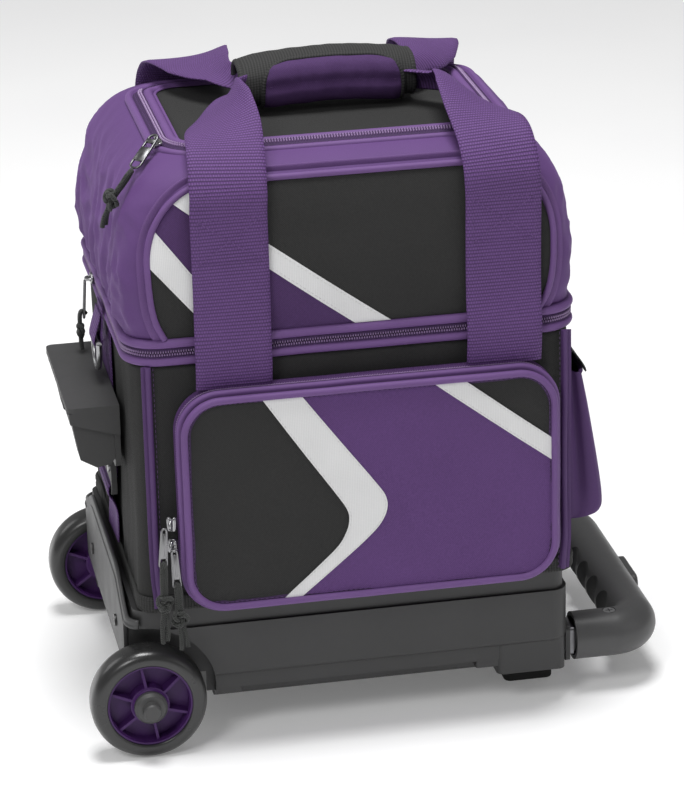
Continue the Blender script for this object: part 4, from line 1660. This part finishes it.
part = Part()
p0, _ = rrect(97.4, 94.4, 19.6, n=(26, 24, 8))
ang = np.arctan2(p0[:, 1], p0[:, 0])
base = np.column_stack([p0[:, 0] + CX, p0[:, 1] + CY])
circ = np.column_stack([np.cos(ang), np.sin(ang)])
rows = []
for z, g in ((18.6, 0.985), (20.0, 1.0), (36, 1.002), (53.6, 1.0), (55.6, 0.988)):
    rows.append(np.column_stack([p0 * g + (CX, CY), np.full(len(p0), z)]))
for t in (0.04, 0.3, 0.65, 0.92):
    q = p0 * (1 - t) * 0.985 + circ * 80.6 * t
    rows.append(np.column_stack([q + (CX, CY), np.full(len(p0), 56.3)]))
for rho in (79.0, 77.0, 72, 64, 54, 42, 28, 12):
    z = 131 - math.sqrt(109.0 ** 2 - rho ** 2)
    rows.append(np.column_stack([circ * rho + (CX, CY), np.full(len(p0), min(z, 55.9))]))
R3 = np.array(rows).transpose(1, 0, 2)
part.grid(R3, cu=True, m=0)
part.fan(R3[:, -1], (CX, CY, 22.1), 0)
part.fan(R3[:, 0], (CX, CY, 18.6), 0, flip=True)
o = weld(part.obj("foam_ball_seat", [M_FOAM], "root"))
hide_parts("ball_cup")


# ------------------------------------------------------------------ free cords on the pulls
def strand(name, pts, d, body):
    """A limp cord: a spline with the given control points, in mm in the bag's datum."""
    c = bpy.data.curves.new(name, "CURVE")
    c.dimensions = "3D"
    s = c.splines.new("NURBS")
    s.points.add(len(pts) - 1)
    for q, xyz in zip(s.points, W(pts)):
        q.co = (*xyz, 1.0)
    s.order_u = 3
    s.use_endpoint_u = True
    s.resolution_u = 10
    c.bevel_depth = d / 2 * MM
    c.bevel_resolution = 5
    c.use_fill_caps = True
    c.materials.append(M_CORD)
    o = bpy.data.objects.new(name, c)
    scene.collection.objects.link(o)
    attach(o, body)
    return o


def knot(name, centre, size, d, body, axis=(0, 0, 1.0), turn=0.0, squeeze=0.78, lim=None):
    """A pulled-tight knot: one closed tube that winds through itself."""
    t = np.linspace(0, 2 * math.pi, 97)[:-1]
    R_, r_ = size * 0.50, size * 0.30
    x = (R_ + r_ * np.cos(3 * t)) * np.cos(2 * t + turn)
    y = (R_ + r_ * np.cos(3 * t)) * np.sin(2 * t + turn)
    z = r_ * 1.25 * np.sin(3 * t)
    front = np.array(axis, float)
    # x across, y up, z towards the viewer's side
    P = np.array(centre, float) + x[:, None] * np.cross((0, 0, 1.0), front) + y[:, None] * np.array((0, 0, 1.0)) * 1.12 + z[:, None] * front * squeeze
    part = Part()
    part.tube(P, d / 2, 10, closed=True, m=0)
    # two more turns round the neck
    for k2, h in enumerate((0.62, -0.58)):
        a = np.linspace(0, 2 * math.pi, 33)[:-1]
        e1, e2 = np.cross((0, 0, 1.0), front), front * squeeze
        Q = np.array(centre, float) + np.array((0, 0, 1.0)) * (h * size + 0.35 * np.sin(a + k2))[:, None] + (np.cos(a)[:, None] * e1 + np.sin(a)[:, None] * e2) * size * 0.36
        part.tube(Q, d * 0.46, 8, closed=True, m=0)
    o = part.obj(name, [M_CORD], body)
    return o


# pocket pull 1: a doubled cord through the tab's hole, knotted, with two cut tails
k1 = knot("knot_1", (12.1, -19.2, 78.5), 6.6, 3.0, "pocket_pull_1", axis=(0, -1.0, 0), turn=0.4)
a1 = strand("cord_1_left", [(13.0, -14.2, 105.4), (12.2, -17.2, 106.6), (11.2, -18.6, 101.5), (11.0, -18.8, 92.0), (11.1, -18.6, 80.0), (10.9, -19.2, 70.0), (9.6, -19.0, 59.5), (9.9, -18.6, 49.0)], 3.2, "pocket_pull_1")
b1 = strand("cord_1_right", [(13.2, -14.2, 105.2), (13.8, -17.4, 106.2), (13.7, -18.8, 100.0), (13.3, -18.8, 90.0), (13.0, -18.6, 79.0), (13.2, -18.8, 69.0), (13.9, -19.2, 60.0), (13.0, -18.8, 51.0)], 3.2, "pocket_pull_1")
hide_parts("pocket_cord_1")

k2_ = knot("knot_2", (22.0, -19.2, 66.5), 6.6, 3.0, "pocket_pull_2", axis=(0, -1.0, 0), turn=1.9)
a2 = strand("cord_2_left", [(21.5, -14.2, 89.4), (20.9, -17.2, 90.4), (20.5, -18.7, 85.0), (20.9, -18.7, 77.0), (21.1, -18.5, 68.0), (21.6, -18.9, 60.0), (22.8, -19.2, 52.0), (22.3, -18.8, 43.0)], 3.2, "pocket_pull_2")
b2 = strand("cord_2_right", [(21.7, -14.2, 89.2), (22.6, -17.3, 90.0), (23.2, -18.7, 84.0), (23.0, -18.6, 76.0), (23.1, -18.7, 67.0), (24.2, -18.8, 60.0), (26.2, -18.6, 52.5), (26.6, -18.8, 45.0)], 3.2, "pocket_pull_2")
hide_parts("pocket_cord_2")

k3 = knot("knot_3", (-15.4, 165.0, 211.5), 5.6, 2.7, "mid_pull", axis=(-1.0, 0, 0), turn=0.9)
a3 = strand("cord_3_front", [(-11.0, 164.8, 223.6), (-13.2, 164.0, 226.6), (-15.4, 163.8, 224.5), (-15.7, 163.9, 218.0), (-15.3, 163.8, 211.0), (-15.6, 162.6, 204.0), (-15.3, 162.2, 197.8)], 2.9, "mid_pull")
b3 = strand("cord_3_back", [(-11.0, 165.2, 223.4), (-13.4, 166.0, 226.2), (-15.4, 166.3, 224.0), (-15.8, 166.2, 217.5), (-15.3, 166.2, 210.5), (-15.6, 167.4, 203.5), (-15.2, 168.2, 198.6)], 2.9, "mid_pull")
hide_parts("mid_cord")

k4 = knot("knot_4", (-4.0, 36.9, 346.5), 7.4, 3.2, "top_pull", axis=(-0.92, -0.38, 0), turn=0.2)
a4 = strand("cord_4_a", [(10.6, 37.2, 365.6), (7.6, 33.4, 364.6), (3.4, 33.2, 358.6), (-0.6, 34.6, 352.6), (-4.2, 35.6, 346.0), (-7.0, 37.0, 339.0), (-9.6, 38.6, 333.0), (-10.4, 39.4, 327.4)], 3.3, "top_pull")
b4 = strand("cord_4_b", [(10.9, 37.5, 365.3), (8.6, 35.6, 362.4), (4.6, 36.0, 356.6), (0.4, 37.0, 351.2), (-3.4, 38.2, 345.4), (-5.8, 39.8, 339.6), (-7.2, 41.8, 333.6), (-7.6, 43.2, 328.2)], 3.3, "top_pull")
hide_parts("top_cord")


# ------------------------------------------------------------------ CAD pieces that keep their own shape
LOOKS = {
    "base_tray": (M_BASE, 0.6), "skid_screws": (M_SCREW, 0.15), "foot_pads": (M_FOOT, 0.5),
    "wheel_axle": (M_STEEL, 0.2), "stage_1_tubes": (M_ALU, 0.2), "stage_2_tubes": (M_ALU, 0.2), "tube_collars": (M_BASE, 0.4),
    "floor_board": (M_BOARD, 0.4), "grab_handle": (M_GRAB, 0.7), "pull_grip": (M_GRIP, 0.8), "push_button": (M_CAP, 0.5),
    "d_ring": (M_STEEL, 0), "front_tyre": (M_TYRE, 0.4), "back_tyre": (M_TYRE, 0.4), "front_hub": (M_HUB, 0.4), "back_hub": (M_HUB, 0.4),
    "front_hub_cap": (M_CAP, 0.4), "back_hub_cap": (M_CAP, 0.4),
}


def dress(node, mat, w=0.0):
    me = node.data
    me.materials.clear()
    me.materials.append(mat)
    if w:
        b = node.modifiers.new("edge", "BEVEL")
        b.width = w * MM
        b.segments = 3
        b.limit_method = "ANGLE"
        b.angle_limit = math.radians(35)
        b.harden_normals = True
        b.use_clamp_overlap = True


for name, node in NODES.items():
    if node is None or not getattr(node, "data", None):
        continue
    if name in LOOKS:
        dress(node, *LOOKS[name])
    elif "slider" in name:
        dress(node, M_TAB, 0.35)
    elif "pull" in name and "cord" not in name:
        dress(node, M_PULL, 0.3)
    elif "axle" in name or "pin" in name or "bolt" in name or "screw" in name or "spring" in name:
        dress(node, M_STEEL, 0.1)
    else:
        dress(node, M_BASE, 0.3)

# ------------------------------------------------------------------ floor
def floor_mat():
    m = Mat("floor")
    n = m.noise(3, 3)
    c = m.mix(m.span(n, 0.3, 0.7, 0, 1), (0.90, 0.90, 0.905), (0.935, 0.935, 0.935))
    m.set(color=c, rough=0.75, spec=0.2, normal=m.bump(m.noise(60, 4), 0.02 * MM))
    m.put(m.p.inputs["Emission Color"], (1.0, 1.0, 1.0))
    m.p.inputs["Emission Strength"].default_value = 0.14
    return m.m


me = bpy.data.meshes.new("floor")
S_ = 14.0
me.from_pydata([(-S_, -S_, 0), (S_, -S_, 0), (S_, S_, 0), (-S_, S_, 0)], [], [(0, 1, 2, 3)])
floor = bpy.data.objects.new("floor", me)
scene.collection.objects.link(floor)
me.materials.append(floor_mat())
